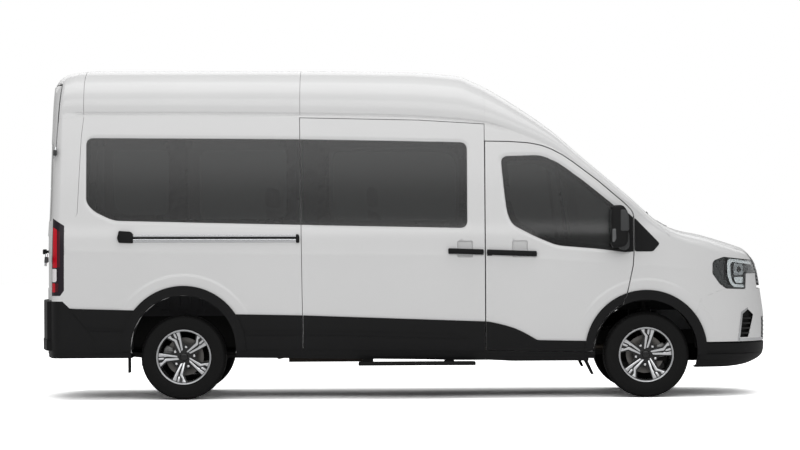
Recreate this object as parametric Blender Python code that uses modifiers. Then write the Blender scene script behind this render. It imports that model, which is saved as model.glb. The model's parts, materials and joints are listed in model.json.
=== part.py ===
"""High-roof minibus with a sliding side door, built as separate panels, glass, running gear and seats.

Frame: metres, +X towards the front of the vehicle, +Y towards its left side, +Z up.
The origin is on the ground, halfway along the vehicle and on its centreline.
"""

import math

import bmesh
import bpy
from mathutils import Matrix, Vector

# Overall layout
WHEELBASE = 3.750
FRONT_AXLE_X = 1.9675
REAR_AXLE_X = FRONT_AXLE_X - WHEELBASE
TYRE_RADIUS = 0.346
TYRE_WIDTH = 0.235
WHEEL_Y = 0.860
WHEEL_STEPS = 20
SPIGOT_RADIUS = 0.032
SPIGOT_PLAY = 0.0009
KINGPIN_Y = 0.755
ARM_TOP = TYRE_RADIUS - 0.071

# Body shell
WALL = 0.060
GLASS = 0.006
SEAT_GAP = 0.0003
SHUT_GAP = 0.006
BONNET_SWEEP = 0.012
NOSE_START_X = 1.90
NOSE_POWER = 3.2
CROWN_STEPS = 5
SIDE_STEPS = 5
COARSE_CROWN_STEPS = 3
COARSE_SIDE_SHARES = (0.0, 0.09, 0.34, 0.58, 1.0)
RIGHT = -1
LEFT = 1

# Hinge axes
FRONT_HINGE_X = 1.852
FRONT_HINGE_Y = 1.026
FRONT_HINGE_Z = 0.900
BONNET_HINGE_X = 2.200
BONNET_HINGE_Z = 1.395
REAR_HINGE_FOOT = (-2.888, 1.045, 1.123)
REAR_HINGE_HEAD = (-2.816, 0.962, 2.020)
REAR_DOOR_LOW = 0.812
REAR_DOOR_HIGH = 2.560

# Wheel arches: centre height and opening radius
FRONT_ARCH_Z = 0.376
REAR_ARCH_Z = 0.421
FRONT_ARCH_RADIUS = 0.420
REAR_ARCH_RADIUS = 0.429

# Half-width of the body side at each height
SIDE_TABLE = (
    # height, half-width
    (0.24, 0.935),
    (0.33, 0.975),
    (0.45, 1.000),
    (0.80, 1.018),
    (1.05, 1.022),
    (1.30, 1.016),
    (1.42, 1.000),
    (1.80, 0.962),
    (2.10, 0.927),
    (2.33, 0.896),
    (2.60, 0.860),
)

# Furthest forward point of the nose at each height
NOSE_TABLE = (
    # height, x
    (0.24, 2.860),
    (0.30, 2.950),
    (0.37, 2.985),
    (0.58, 2.990),
    (0.67, 2.984),
    (0.80, 2.965),
    (0.98, 2.940),
    (1.06, 2.935),
    (2.70, 2.935),
)

# Lean of the rear face: how far it moves forward at each height
REAR_LEAN_TABLE = (
    # height, shift in x
    (0.24, 0.004),
    (1.25, 0.000),
    (1.54, 0.016),
    (2.19, 0.042),
    (2.60, 0.075),
    (2.66, 0.124),
    (2.70, 0.290),
)
REAR_X = -2.957
REAR_BLEND = 0.60

# Body sections from back to front
SECTIONS = (
    # x, width lost at the corner, height at the centreline, shoulder height, crown power, underside
    (-2.957, 0.070, 2.560, 2.280, 3.0, 0.34),
    (-2.890, 0.006, 2.665, 2.325, 3.0, 0.34),
    (-2.830, 0.000, 2.685, 2.330, 3.0, 0.34),
    (-2.700, 0.000, 2.697, 2.330, 3.0, 0.34),
    (-1.600, 0.000, 2.695, 2.325, 3.0, 0.34),
    (-0.010, 0.000, 2.676, 2.295, 3.0, 0.32),
    (0.470, 0.000, 2.638, 2.262, 3.0, 0.31),
    (0.572, 0.000, 2.596, 2.250, 3.0, 0.31),
    (0.691, 0.000, 2.540, 2.232, 3.0, 0.31),
    (0.900, 0.000, 2.412, 2.165, 3.2, 0.30),
    (1.209, 0.000, 2.191, 2.035, 3.8, 0.30),
    (1.422, 0.000, 2.002, 1.890, 4.0, 0.30),
    (1.853, 0.000, 1.633, 1.540, 4.0, 0.28),
    (1.969, 0.000, 1.525, 1.435, 4.0, 0.27),
    (2.045, 0.000, 1.459, 1.375, 3.8, 0.26),
    (2.156, 0.000, 1.392, 1.305, 3.4, 0.25),
    (2.280, 0.000, 1.350, 1.250, 3.0, 0.24),
    (2.437, 0.000, 1.318, 1.195, 3.0, 0.24),
    (2.613, 0.000, 1.267, 1.125, 3.0, 0.24),
    (2.740, 0.000, 1.226, 1.070, 3.0, 0.25),
    (2.820, 0.000, 1.192, 1.030, 2.8, 0.265),
    (2.910, 0.000, 1.092, 0.940, 2.4, 0.300),
    (2.935, 0.000, 1.000, 0.860, 2.2, 0.315),
    (2.958, 0.000, 0.850, 0.760, 2.0, 0.330),
    (2.978, 0.000, 0.700, 0.640, 2.0, 0.350),
)

COARSE_PLACES = (
    -2.700,
    -1.600,
    -0.010,
    0.470,
    0.691,
    1.209,
    1.853,
    2.156,
    2.437,
    2.740,
    2.910,
)


def clear_scene():
    """Take the startup objects away."""
    for old in list(bpy.data.objects):
        bpy.data.objects.remove(old)


def collection(name):
    """A collection linked to the scene."""
    made = bpy.data.collections.new(name)
    bpy.context.scene.collection.children.link(made)
    return made


clear_scene()
PARTS = collection("minibus")
CUTTERS = collection("cutters")


def material(name, colour, roughness, metallic=0.0, alpha=1.0):
    """A plain Principled finish."""
    made = bpy.data.materials.new(name)
    made.use_nodes = True
    shader = made.node_tree.nodes["Principled BSDF"]
    shader.inputs["Base Color"].default_value = (*colour, 1.0)
    shader.inputs["Roughness"].default_value = roughness
    shader.inputs["Metallic"].default_value = metallic
    shader.inputs["Alpha"].default_value = alpha
    return made


PAINT = material("white_paint", (0.80, 0.80, 0.81), 0.25)
BLACK_PLASTIC = material("black_plastic", (0.02, 0.02, 0.02), 0.55)
TINTED_GLASS = material("tinted_glass", (0.02, 0.02, 0.02), 0.05)
RUBBER = material("rubber", (0.015, 0.015, 0.015), 0.85)
ALLOY = material("alloy", (0.75, 0.75, 0.77), 0.30, 1.0)
STEEL = material("steel", (0.10, 0.10, 0.10), 0.55, 0.6)
LAMP_CLEAR = material("lamp_clear", (0.80, 0.82, 0.84), 0.08)
LAMP_RED = material("lamp_red", (0.50, 0.01, 0.02), 0.10)
FABRIC = material("fabric", (0.06, 0.06, 0.07), 0.90)


def table_value(table, at):
    """Smooth value of a two-column table at a place between its rows."""
    if at <= table[0][0]:
        return table[0][1]
    for index in range(len(table) - 1):
        x0, y0 = table[index]
        x1, y1 = table[index + 1]
        if at > x1:
            continue
        slope = (y1 - y0) / (x1 - x0)
        before = table[index - 1] if index else None
        after = table[index + 2] if index + 2 < len(table) else None
        slope0 = (y1 - before[1]) / (x1 - before[0]) if before else slope
        slope1 = (after[1] - y0) / (after[0] - x0) if after else slope
        limit = 2.0 * abs(slope)
        slope0 = math.copysign(min(abs(slope0), limit), slope) if slope0 * slope > 0 else 0.0
        slope1 = math.copysign(min(abs(slope1), limit), slope) if slope1 * slope > 0 else 0.0
        t = (at - x0) / (x1 - x0)
        span = x1 - x0
        return (
            y0 * (1 + 2 * t) * (1 - t) ** 2
            + y1 * t * t * (3 - 2 * t)
            + span * slope0 * t * (1 - t) ** 2
            - span * slope1 * t * t * (1 - t)
        )
    return table[-1][1]


def side_y(x, z):
    """Half-width of the outer skin of the body side."""
    half = table_value(SIDE_TABLE, z)
    if x <= NOSE_START_X:
        return half
    reach = (x - NOSE_START_X) / (table_value(NOSE_TABLE, z) - NOSE_START_X)
    return half * max(0.0, 1.0 - min(reach, 1.0) ** NOSE_POWER) ** (1.0 / NOSE_POWER)


def body_section(row, inset):
    """Half outline of the body at one section, from the underside up the side and over to the middle."""
    x, corner, top, shoulder, power, under = row
    low = under + (inset if inset <= 0.02 else -0.05)
    points = []
    shares = [step / SIDE_STEPS for step in range(SIDE_STEPS + 1)] if inset <= 0.02 else COARSE_SIDE_SHARES
    crown_steps = CROWN_STEPS if inset <= 0.02 else COARSE_CROWN_STEPS
    for share in shares:
        z = low + (shoulder - inset - low) * share
        points.append((max(side_y(x, z) - corner - inset, 0.01), z))
    half, base = points[-1]
    rise = top - inset - base
    for step in range(1, crown_steps + 1):
        angle = 0.5 * math.pi * step / crown_steps
        across = max(math.cos(angle), 0.0) ** (2.0 / power)
        up = math.sin(angle) ** (2.0 / power)
        points.append((half * across if step < crown_steps else 0.0, base + rise * up))
    return points


def rear_shift(x, z):
    """How far a point near the back moves forward, because the rear face leans."""
    share = min(max((REAR_X + REAR_BLEND - x) / REAR_BLEND, 0.0), 1.0)
    return share * table_value(REAR_LEAN_TABLE, z)


def mesh_object(name, verts, faces, finish, home=PARTS):
    """A mesh object from points and faces, with its normals pointing out."""
    mesh = bpy.data.meshes.new(name)
    mesh.from_pydata(verts, [], faces)
    work = bmesh.new()
    work.from_mesh(mesh)
    bmesh.ops.recalc_face_normals(work, faces=work.faces)
    work.to_mesh(mesh)
    work.free()
    made = bpy.data.objects.new(name, mesh)
    home.objects.link(made)
    made.data.materials.append(finish)
    if home is CUTTERS:
        made.hide_render = True
        made.display_type = "WIRE"
    return made


def hull(name, inset):
    """The closed outer form of the body, taken in by an inset on every side."""
    rows = [row for row in SECTIONS if row[0] > REAR_X + 0.001 or inset <= 0.02]
    if inset > 0.02:
        rows = [(REAR_X + inset, *SECTIONS[1][1:])] + [
            row for row in SECTIONS if row[0] in COARSE_PLACES and row[0] > REAR_X + inset + 0.02
        ]
    rings = []
    for index, row in enumerate(rows):
        points = body_section(row, inset)
        x = row[0] + (inset if index == 0 and inset <= 0.02 else 0.0)
        x -= inset if index == len(rows) - 1 and inset <= 0.02 else 0.0
        ring = [(x + rear_shift(row[0], z), -y, z) for y, z in points]
        ring += [(x + rear_shift(row[0], z), y, z) for y, z in reversed(points[:-1])]
        rings.append(ring)
    count = len(rings[0])
    verts = [point for ring in rings for point in ring]
    faces = []
    for i in range(len(rings) - 1):
        for j in range(count):
            a = i * count + j
            b = i * count + (j + 1) % count
            faces.append((a, b, b + count, a + count))
    faces.append(tuple(range(count)))
    faces.append(tuple(range(len(verts) - count, len(verts))))
    made = mesh_object(name, verts, faces, PAINT, CUTTERS)
    work = bmesh.new()
    work.from_mesh(made.data)
    bmesh.ops.triangulate(work, faces=work.faces)
    work.to_mesh(made.data)
    work.free()
    return made


def solid_copy(source, name, finish=None, home=PARTS):
    """A copy of an object with a mesh of its own."""
    made = bpy.data.objects.new(name, source.data.copy())
    made.matrix_world = source.matrix_world
    home.objects.link(made)
    if finish is not None:
        made.data.materials.clear()
        made.data.materials.append(finish)
    if home is CUTTERS:
        made.hide_render = True
        made.display_type = "WIRE"
    return made


def bake(item):
    """Apply an object's modifiers to its mesh."""
    bpy.context.view_layer.update()
    graph = bpy.context.evaluated_depsgraph_get()
    mesh = bpy.data.meshes.new_from_object(item.evaluated_get(graph))
    item.modifiers.clear()
    item.data = mesh


def boolean(item, other, operation):
    """Cut, join or intersect an object with another."""
    step = item.modifiers.new(operation.lower(), "BOOLEAN")
    step.operation = operation
    step.solver = "EXACT"
    step.object = other
    if operation == "UNION":
        step.material_mode = "TRANSFER"
    bake(item)
    return item


def cut(item, *cutters):
    """Take the cutters away from an object."""
    for other in cutters:
        boolean(item, other, "DIFFERENCE")
    return item


def keep(item, other):
    """Keep only what lies inside another object."""
    return boolean(item, other, "INTERSECT")


def join(item, *others):
    """Fuse other objects into an object and remove them."""
    for other in others:
        boolean(item, other, "UNION")
        bpy.data.objects.remove(other)
    return item


def mirror_whole(item):
    """Make an object symmetrical from its right half."""
    step = item.modifiers.new("mirror", "MIRROR")
    step.use_axis = (False, True, False)
    step.use_bisect_axis = (False, True, False)
    step.use_bisect_flip_axis = (False, True, False)
    step.merge_threshold = 0.00001
    bake(item)


def arc_points(centre, radius, start, end, steps):
    """Points along an arc, angles in degrees."""
    found = []
    for step in range(steps + 1):
        angle = math.radians(start + (end - start) * step / steps)
        found.append((centre[0] + radius * math.cos(angle), centre[1] + radius * math.sin(angle)))
    return found


def rounded(points, radius, steps=3):
    """An outline with each corner replaced by a short curve."""
    found = []
    count = len(points)
    for index in range(count):
        here = Vector(points[index])
        before = Vector(points[index - 1]) - here
        after = Vector(points[(index + 1) % count]) - here
        reach = min(radius, 0.45 * before.length, 0.45 * after.length)
        first = here + before.normalized() * reach
        last = here + after.normalized() * reach
        for step in range(steps + 1):
            t = step / steps
            point = first * (1 - t) ** 2 + here * 2 * t * (1 - t) + last * t * t
            found.append((point.x, point.y))
    return found


def grown(points, distance):
    """An outline moved outwards by a distance."""
    area = sum(a[0] * b[1] - b[0] * a[1] for a, b in zip(points, points[1:] + points[:1]))
    turn = 1.0 if area > 0 else -1.0
    found = []
    count = len(points)
    for index in range(count):
        here = Vector(points[index])
        along0 = (here - Vector(points[index - 1])).normalized()
        along1 = (Vector(points[(index + 1) % count]) - here).normalized()
        out0 = Vector((along0.y, -along0.x)) * turn
        out1 = Vector((along1.y, -along1.x)) * turn
        out = out0 + out1
        out = out / max(out.length_squared, 0.4) * 2.0
        found.append((here.x + out.x * distance, here.y + out.y * distance))
    return found


def prism(name, outline, plane, low, high, finish=None, home=None):
    """A flat outline given thickness along the axis that its plane leaves out: XZ, YZ or XY."""
    curve = bpy.data.curves.new(name, "CURVE")
    curve.dimensions = "2D"
    curve.fill_mode = "BOTH"
    curve.extrude = 0.5 * (high - low)
    spline = curve.splines.new("POLY")
    spline.points.add(len(outline) - 1)
    for point, (a, b) in zip(spline.points, outline):
        point.co = (a, b, 0.0, 1.0)
    spline.use_cyclic_u = True
    flat = bpy.data.objects.new(name, curve)
    CUTTERS.objects.link(flat)
    middle = 0.5 * (low + high)
    columns = {
        "XZ": (((1, 0, 0), (0, 0, 1), (0, -1, 0)), (0, middle, 0)),
        "YZ": (((0, 1, 0), (0, 0, 1), (1, 0, 0)), (middle, 0, 0)),
        "XY": (((1, 0, 0), (0, 1, 0), (0, 0, 1)), (0, 0, middle)),
    }[plane]
    turn = Matrix(columns[0]).transposed().to_4x4()
    bpy.context.view_layer.update()
    graph = bpy.context.evaluated_depsgraph_get()
    mesh = bpy.data.meshes.new_from_object(flat.evaluated_get(graph))
    bpy.data.objects.remove(flat)
    mesh.transform(Matrix.Translation(columns[1]) @ turn)
    work = bmesh.new()
    work.from_mesh(mesh)
    bmesh.ops.remove_doubles(work, verts=work.verts, dist=0.00001)
    bmesh.ops.recalc_face_normals(work, faces=work.faces)
    work.to_mesh(mesh)
    work.free()
    made = bpy.data.objects.new(name, mesh)
    where = home or CUTTERS
    where.objects.link(made)
    mesh.materials.clear()
    mesh.materials.append(finish or PAINT)
    if where is CUTTERS:
        made.hide_render = True
        made.display_type = "WIRE"
    return made


def side_prism(name, outline, side, inner=0.30, outer=1.30):
    """A prism through one side of the body, from a side-view outline."""
    low, high = (inner, outer) if side == LEFT else (-outer, -inner)
    return prism(name, outline, "XZ", low, high)


def box(name, low, high, finish, home=PARTS, bevel=0.0):
    """A box between two corners, with its edges rounded if asked."""
    mesh = bpy.data.meshes.new(name)
    work = bmesh.new()
    bmesh.ops.create_cube(work, size=1.0)
    size = Vector(high) - Vector(low)
    middle = (Vector(high) + Vector(low)) / 2
    bmesh.ops.transform(
        work, matrix=Matrix.Translation(middle) @ Matrix.Diagonal((*size, 1.0)), verts=work.verts
    )
    if bevel:
        bmesh.ops.bevel(work, geom=work.edges[:], offset=bevel, segments=1, affect="EDGES")
    work.to_mesh(mesh)
    work.free()
    made = bpy.data.objects.new(name, mesh)
    home.objects.link(made)
    mesh.materials.append(finish)
    if home is CUTTERS:
        made.hide_render = True
        made.display_type = "WIRE"
    return made


def rod(name, start, end, radius, finish, home=PARTS, sides=12, end_radius=None):
    """A cylinder or cone between two points."""
    start, end = Vector(start), Vector(end)
    along = end - start
    mesh = bpy.data.meshes.new(name)
    work = bmesh.new()
    bmesh.ops.create_cone(
        work,
        cap_ends=True,
        segments=sides,
        radius1=radius,
        radius2=radius if end_radius is None else end_radius,
        depth=along.length,
    )
    turn = along.to_track_quat("Z", "Y").to_matrix().to_4x4()
    bmesh.ops.transform(work, matrix=Matrix.Translation((start + end) / 2) @ turn, verts=work.verts)
    work.to_mesh(mesh)
    work.free()
    made = bpy.data.objects.new(name, mesh)
    home.objects.link(made)
    mesh.materials.append(finish)
    if home is CUTTERS:
        made.hide_render = True
        made.display_type = "WIRE"
    return made


def turned(name, profile, centre, finish, steps=40, home=PARTS):
    """A ring or disc turned about an axis along Y, from a closed profile of radius and offset along the axis."""
    mesh = bpy.data.meshes.new(name)
    work = bmesh.new()
    points = [work.verts.new((radius, offset, 0.0)) for radius, offset in profile]
    edges = [work.edges.new((points[i], points[(i + 1) % len(points)])) for i in range(len(points))]
    bmesh.ops.spin(
        work,
        geom=points + edges,
        cent=(0, 0, 0),
        axis=(0, 1, 0),
        angle=2 * math.pi,
        steps=steps,
        use_merge=True,
    )
    bmesh.ops.remove_doubles(work, verts=work.verts, dist=0.00001)
    bmesh.ops.recalc_face_normals(work, faces=work.faces)
    bmesh.ops.translate(work, verts=work.verts, vec=centre)
    work.to_mesh(mesh)
    work.free()
    made = bpy.data.objects.new(name, mesh)
    home.objects.link(made)
    mesh.materials.append(finish)
    if home is CUTTERS:
        made.hide_render = True
        made.display_type = "WIRE"
    return made


def origin_to(item, place):
    """Put an object's origin on a point without moving its surface."""
    item.data.transform(Matrix.Translation(-Vector(place)))
    item.location = place


# Forms that the panels are cut from
OUTER = hull("outer_form", 0.0)
INNER = hull("inner_form", WALL)
GLASS_BACK = hull("glass_back_form", GLASS)
GLASS_SEAT = hull("glass_seat_form", GLASS + SEAT_GAP)
BONNET_BACK = hull("bonnet_back_form", 0.030)

# Side-view outlines, x forward and z up
FRONT_ARCH = (FRONT_AXLE_X, FRONT_ARCH_Z)
REAR_ARCH = (REAR_AXLE_X, REAR_ARCH_Z)
FRONT_DOOR_LINE = [
    (0.671, 0.392),
    (1.480, 0.372),
    *arc_points(FRONT_ARCH, FRONT_ARCH_RADIUS + 0.010, 179, 116, 4),
    (1.814, 0.860),
    (1.842, 0.991),
    (1.859, 1.073),
    (1.867, 1.190),
    (1.867, 1.440),
    (1.855, 1.500),
    (1.788, 1.578),
    (1.582, 1.755),
    (1.375, 1.912),
    (1.221, 2.006),
    (1.128, 2.043),
    (1.014, 2.066),
    (0.859, 2.077),
    (0.671, 2.081),
]
FRONT_FRAME_LINE = [
    (0.671, 0.392),
    (1.500, 0.372),
    *arc_points(FRONT_ARCH, FRONT_ARCH_RADIUS + 0.008, 160, 116, 2),
    (1.842, 0.991),
    (1.867, 1.190),
    (1.867, 1.440),
    (1.582, 1.755),
    (1.221, 2.006),
    (1.014, 2.066),
    (0.671, 2.081),
]
SLIDING_DOOR_LINE = [
    (-0.811, 0.408),
    (0.662, 0.392),
    (0.662, 2.222),
    (0.133, 2.256),
    (-0.832, 2.280),
]
FRONT_WINDOW_LINE = rounded(
    [
        (0.796, 1.960),
        (1.127, 1.968),
        (1.272, 1.900),
        (1.478, 1.748),
        (1.684, 1.580),
        (1.845, 1.452),
        (1.845, 1.172),
        (1.579, 1.207),
        (1.247, 1.235),
        (1.062, 1.313),
        (0.886, 1.407),
        (0.846, 1.500),
        (0.825, 1.656),
    ],
    0.040,
    1,
)
FRONT_WINDOW_OPENING = rounded(
    [
        (0.845, 1.922),
        (1.150, 1.930),
        (1.300, 1.842),
        (1.390, 1.775),
        (1.450, 1.262),
        (1.275, 1.272),
        (1.080, 1.350),
        (0.930, 1.432),
        (0.888, 1.530),
        (0.868, 1.680),
    ],
    0.040,
    1,
)
REAR_PANE_LINE = rounded(
    [
        (-2.565, 2.126),
        (-2.565, 1.600),
        (-2.500, 1.530),
        (-2.345, 1.455),
        (-0.862, 1.414),
        (-0.862, 2.106),
    ],
    0.065,
    2,
)
REAR_PANE_OPENINGS = (
    rounded([(-2.482, 2.063), (-2.482, 1.560), (-2.330, 1.501), (-1.898, 1.501), (-1.898, 2.063)], 0.07, 2),
    rounded([(-1.739, 2.055), (-1.739, 1.465), (-0.941, 1.465), (-0.941, 2.055)], 0.07, 2),
)
SLIDING_PANE_LINE = rounded(
    [(-0.805, 2.106), (-0.805, 1.414), (0.521, 1.381), (0.521, 2.075)], 0.065, 2
)
SLIDING_PANE_OPENING = rounded(
    [(-0.597, 2.043), (-0.597, 1.449), (0.458, 1.440), (0.458, 1.960), (0.380, 2.030)], 0.07, 2
)
LAMP_LINE = rounded(
    [
        (2.512, 1.084),
        (2.524, 1.105),
        (2.603, 1.132),
        (3.100, 1.075),
        (3.100, 0.905),
        (2.790, 0.866),
        (2.623, 0.879),
        (2.570, 0.917),
        (2.511, 1.001),
    ],
    0.020,
    1,
)
TAIL_LAMP_LINE = [
    (-2.838, 1.477),
    (-2.743, 1.416),
    (-2.746, 0.890),
    (-2.778, 0.848),
    (-2.850, 0.848),
]
BONNET_PLAN = [
    (2.165, 0.000),
    (2.172, 0.400),
    (2.205, 0.770),
    (2.270, 0.812),
    (2.420, 0.822),
    (2.560, 0.800),
    (2.700, 0.700),
    (2.800, 0.560),
    (2.850, 0.400),
    (2.872, 0.200),
    (2.878, 0.000),
]
WINDSCREEN_PLAN = [
    (1.205, 0.000),
    (1.212, 0.400),
    (1.240, 0.690),
    (1.270, 0.722),
    (1.600, 0.790),
    (1.940, 0.850),
    (1.985, 0.845),
    (2.060, 0.640),
    (2.105, 0.350),
    (2.120, 0.000),
]


def mirrored(half):
    """A closed plan outline from its half, which starts and ends on the centreline."""
    return list(half) + [(x, -y) for x, y in reversed(half[1:-1])]


# Openings shared by several panels
def arch_cutter(name, centre, radius, side, inner=0.50):
    return prism(
        name,
        arc_points(centre, radius, 0, 340, 17),
        "XZ",
        *((inner, 1.40) if side == LEFT else (-1.40, -inner)),
    )


ARCHES = {}
for side in (RIGHT, LEFT):
    tag = "right" if side == RIGHT else "left"
    ARCHES["front", side] = arch_cutter("front_arch_" + tag, FRONT_ARCH, FRONT_ARCH_RADIUS, side)
    ARCHES["rear", side] = arch_cutter("rear_arch_" + tag, REAR_ARCH, REAR_ARCH_RADIUS, side)

SHELL = solid_copy(OUTER, "shell_form", home=CUTTERS)
cut(SHELL, INNER, *ARCHES.values())
bpy.data.objects.remove(INNER)
SKIN = solid_copy(OUTER, "skin_form", home=CUTTERS)
cut(SKIN, GLASS_BACK)
BONNET_SKIN = solid_copy(OUTER, "bonnet_skin_form", home=CUTTERS)
cut(BONNET_SKIN, BONNET_BACK)


def panel(name, source, keeps, cuts, finish=PAINT):
    """A panel cut from a shell: what lies inside every keep and outside every cut."""
    made = solid_copy(source, name, finish)
    for other in keeps:
        keep(made, other)
    cut(made, *cuts)
    return made


def glaze(item, name, line, openings, side):
    """Seat a pane in the outer skin of a panel, and cut the panel through behind it."""
    pane = panel(name, SKIN, [side_prism(name + "_line", line, side)], [], TINTED_GLASS)
    seat = side_prism(name + "_seat", grown(line, SEAT_GAP), side)
    cut(seat, GLASS_SEAT)
    cut(item, seat)
    for index, opening in enumerate(openings):
        cut(item, side_prism(name + "_opening_%d" % index, opening, side))
    return pane


# Rear doors reach round the corner to a line that leans forward with height
def rear_axis_x(z):
    """Where the rear door's hinge line stands at a height."""
    share = (z - REAR_HINGE_FOOT[2]) / (REAR_HINGE_HEAD[2] - REAR_HINGE_FOOT[2])
    return REAR_HINGE_FOOT[0] + (REAR_HINGE_HEAD[0] - REAR_HINGE_FOOT[0]) * share


def rear_door_form(name, side, grow, top_gap):
    """All of the back of the shell on one side of the middle, out to the shut line."""
    low = REAR_DOOR_LOW - grow
    high = REAR_DOOR_HIGH + top_gap
    inner = 0.004 - grow if grow == 0 else -0.5
    wrap = prism(
        name,
        [
            (-3.10, low),
            (rear_axis_x(low) - 0.004 + grow, low),
            (rear_axis_x(high) - 0.004 + grow, high),
            (-3.10, high),
        ],
        "XZ",
        *((0.85, 1.30) if side == LEFT else (-1.30, -0.85)),
    )
    middle = box(
        name + "_middle",
        (-3.10, inner if side == LEFT else -0.90 - grow, low),
        (-2.800 + 2.5 * grow, 0.90 + grow if side == LEFT else -inner, high),
        PAINT,
        CUTTERS,
    )
    return join(wrap, middle)


REAR_DOOR_CUTTERS = [
    rear_door_form("rear_door_opening_right", RIGHT, 0.008, 0.014),
    rear_door_form("rear_door_opening_left", LEFT, 0.008, 0.014),
]

# Roof: above the bead line, back from the seam over the front doors
ROOF_SEAM_X = 0.6665
ROOF_LINE = [
    (-3.00, 2.700 - 0.43),
    (-2.70, 2.290),
    (-2.60, 2.316),
    (-0.829, 2.304),
    (0.133, 2.287),
    (0.524, 2.260),
    (ROOF_SEAM_X, 2.239),
]
roof_keep = prism("roof_keep", ROOF_LINE + [(ROOF_SEAM_X, 2.9), (-3.00, 2.9)], "XZ", -1.3, 1.3)
side_keep = prism(
    "side_keep",
    [(x, z - SEAT_GAP) for x, z in ROOF_LINE] + [(ROOF_SEAM_X, 0.2), (-3.00, 0.2)],
    "XZ",
    -1.3,
    1.3,
)
frame_limit = prism(
    "frame_limit",
    [(x, z - 0.003) for x, z in ROOF_LINE] + [(3.20, 2.236), (3.20, 0.2), (-3.00, 0.2)],
    "XZ",
    -1.3,
    1.3,
)
roof = panel("roof", SHELL, [roof_keep], REAR_DOOR_CUTTERS)

# Bumper regions at the foot of the shell
REAR_BUMPER_LINE = [(-3.10, 0.10), (-2.50, 0.10), (-2.50, 0.500), (-2.700, 0.745), (-2.760, 0.803), (-3.10, 0.803)]
FRONT_BUMPER_LINE = [
    (3.10, 0.10),
    (2.20, 0.10),
    (2.30, 0.500),
    (2.42, 0.800),
    (2.60, 0.872),
    (2.790, 0.860),
    (3.10, 0.895),
]
rear_bumper_region = prism("rear_bumper_region", grown(REAR_BUMPER_LINE, SEAT_GAP), "XZ", -1.3, 1.3)
front_bumper_region = prism("front_bumper_region", grown(FRONT_BUMPER_LINE, SEAT_GAP), "XZ", -1.3, 1.3)
bonnet_sweep = [(x + (BONNET_SWEEP if x > 2.45 else 0.0), y) for x, y in BONNET_PLAN]
bonnet_region = prism("bonnet_region", grown(mirrored(bonnet_sweep), SHUT_GAP), "XY", 1.02, 1.60)
windscreen_region = prism("windscreen_region", grown(mirrored(WINDSCREEN_PLAN), SEAT_GAP), "XY", 1.30, 2.60)
windscreen_opening = prism(
    "windscreen_opening", grown(mirrored(WINDSCREEN_PLAN), -0.045), "XY", 1.30, 2.60
)

side_panels = {}
glazing = {}
front_doors = {}
wings = {}
for side in (RIGHT, LEFT):
    tag = "right" if side == RIGHT else "left"
    half = box(
        "half_" + tag,
        (-3.2, 0.30 if side == LEFT else -1.4, 0.0),
        (3.2, 1.4 if side == LEFT else -0.30, 3.0),
        PAINT,
        CUTTERS,
    )
    # Body side, with the sliding door's opening on the right only
    cuts = [*REAR_DOOR_CUTTERS, rear_bumper_region]
    if side == RIGHT:
        cuts.append(side_prism("sliding_opening", grown(SLIDING_DOOR_LINE, 0.005), side))
    tail_seat = side_prism("tail_seat_" + tag, grown(TAIL_LAMP_LINE, SEAT_GAP), side, 0.90)
    cuts.append(tail_seat)
    side_panels[side] = panel("body_side_" + tag, SHELL, [side_keep, half], cuts)
    lamp = panel("tail_lamp_" + tag, SHELL, [side_prism("tail_line_" + tag, TAIL_LAMP_LINE, side, 0.9003)], [], LAMP_RED)
    glazing[side] = glaze(
        side_panels[side], "rear_glass_" + tag, REAR_PANE_LINE, REAR_PANE_OPENINGS, side
    )
    # Front door
    line = FRONT_DOOR_LINE
    front_doors[side] = panel(
        "front_door_" + tag, SHELL, [side_prism("front_door_line_" + tag, line, side)], []
    )
    glaze(front_doors[side], "front_door_glass_" + tag, FRONT_WINDOW_LINE, [FRONT_WINDOW_OPENING], side)

sliding_door = panel(
    "sliding_door", SHELL, [side_prism("sliding_line", SLIDING_DOOR_LINE, RIGHT)], []
)
glaze(sliding_door, "sliding_door_glass", SLIDING_PANE_LINE, [SLIDING_PANE_OPENING], RIGHT)
glaze(
    side_panels[LEFT], "middle_glass_left", SLIDING_PANE_LINE, [SLIDING_PANE_OPENING], LEFT
)

# Pull handles standing off the doors
HANDLE_OUT = 1.052
for door, side, low_x, high_x in (
    (sliding_door, RIGHT, 0.365, 0.655),
    (front_doors[RIGHT], RIGHT, 0.677, 1.083),
    (front_doors[LEFT], LEFT, 0.677, 1.083),
):
    y0, y1 = sorted((side * 0.990, side * HANDLE_OUT))
    join(door, box("handle", (low_x, y0, 1.180), (high_x, y1, 1.222), PAINT))

# Frames behind the doors: a flange that follows each opening, set inside the door's thickness
FRAME_FRONT = hull("frame_front_form", 0.050)
FRAME_BACK = hull("frame_back_form", 0.100)
DOOR_BACK = hull("door_back_form", WALL + 0.013)
FRAME = solid_copy(FRAME_FRONT, "frame_form", home=CUTTERS)
cut(FRAME, FRAME_BACK)
for side in (RIGHT, LEFT):
    cut(FRAME, arch_cutter("frame_arch", FRONT_ARCH, FRONT_ARCH_RADIUS + 0.004, side))


def door_frame(name, line, door_line, side, low_x, high_x):
    """The flange round one door opening, clear of the door in front of it."""
    made = solid_copy(FRAME, name, home=CUTTERS)
    keep(made, side_prism(name + "_outer", grown(line, 0.030), side, 0.60))
    cut(made, side_prism(name + "_inner", grown(line, -0.065), side))
    clear = side_prism(name + "_clear", grown(door_line, 0.0095), side)
    cut(clear, DOOR_BACK)
    cut(made, clear)
    ends = [box(name + "_ends", (low_x, -1.4, 0.0), (high_x, 1.4, 3.0), PAINT, CUTTERS)]
    for other in ends:
        keep(made, other)
    keep(made, frame_limit)
    cut(made, windscreen_opening)
    return made


FLANGE_MIDDLE = hull("flange_middle_form", 0.082)
DOOR_SEAT = hull("door_seat_form", WALL + SEAT_GAP)


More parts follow.
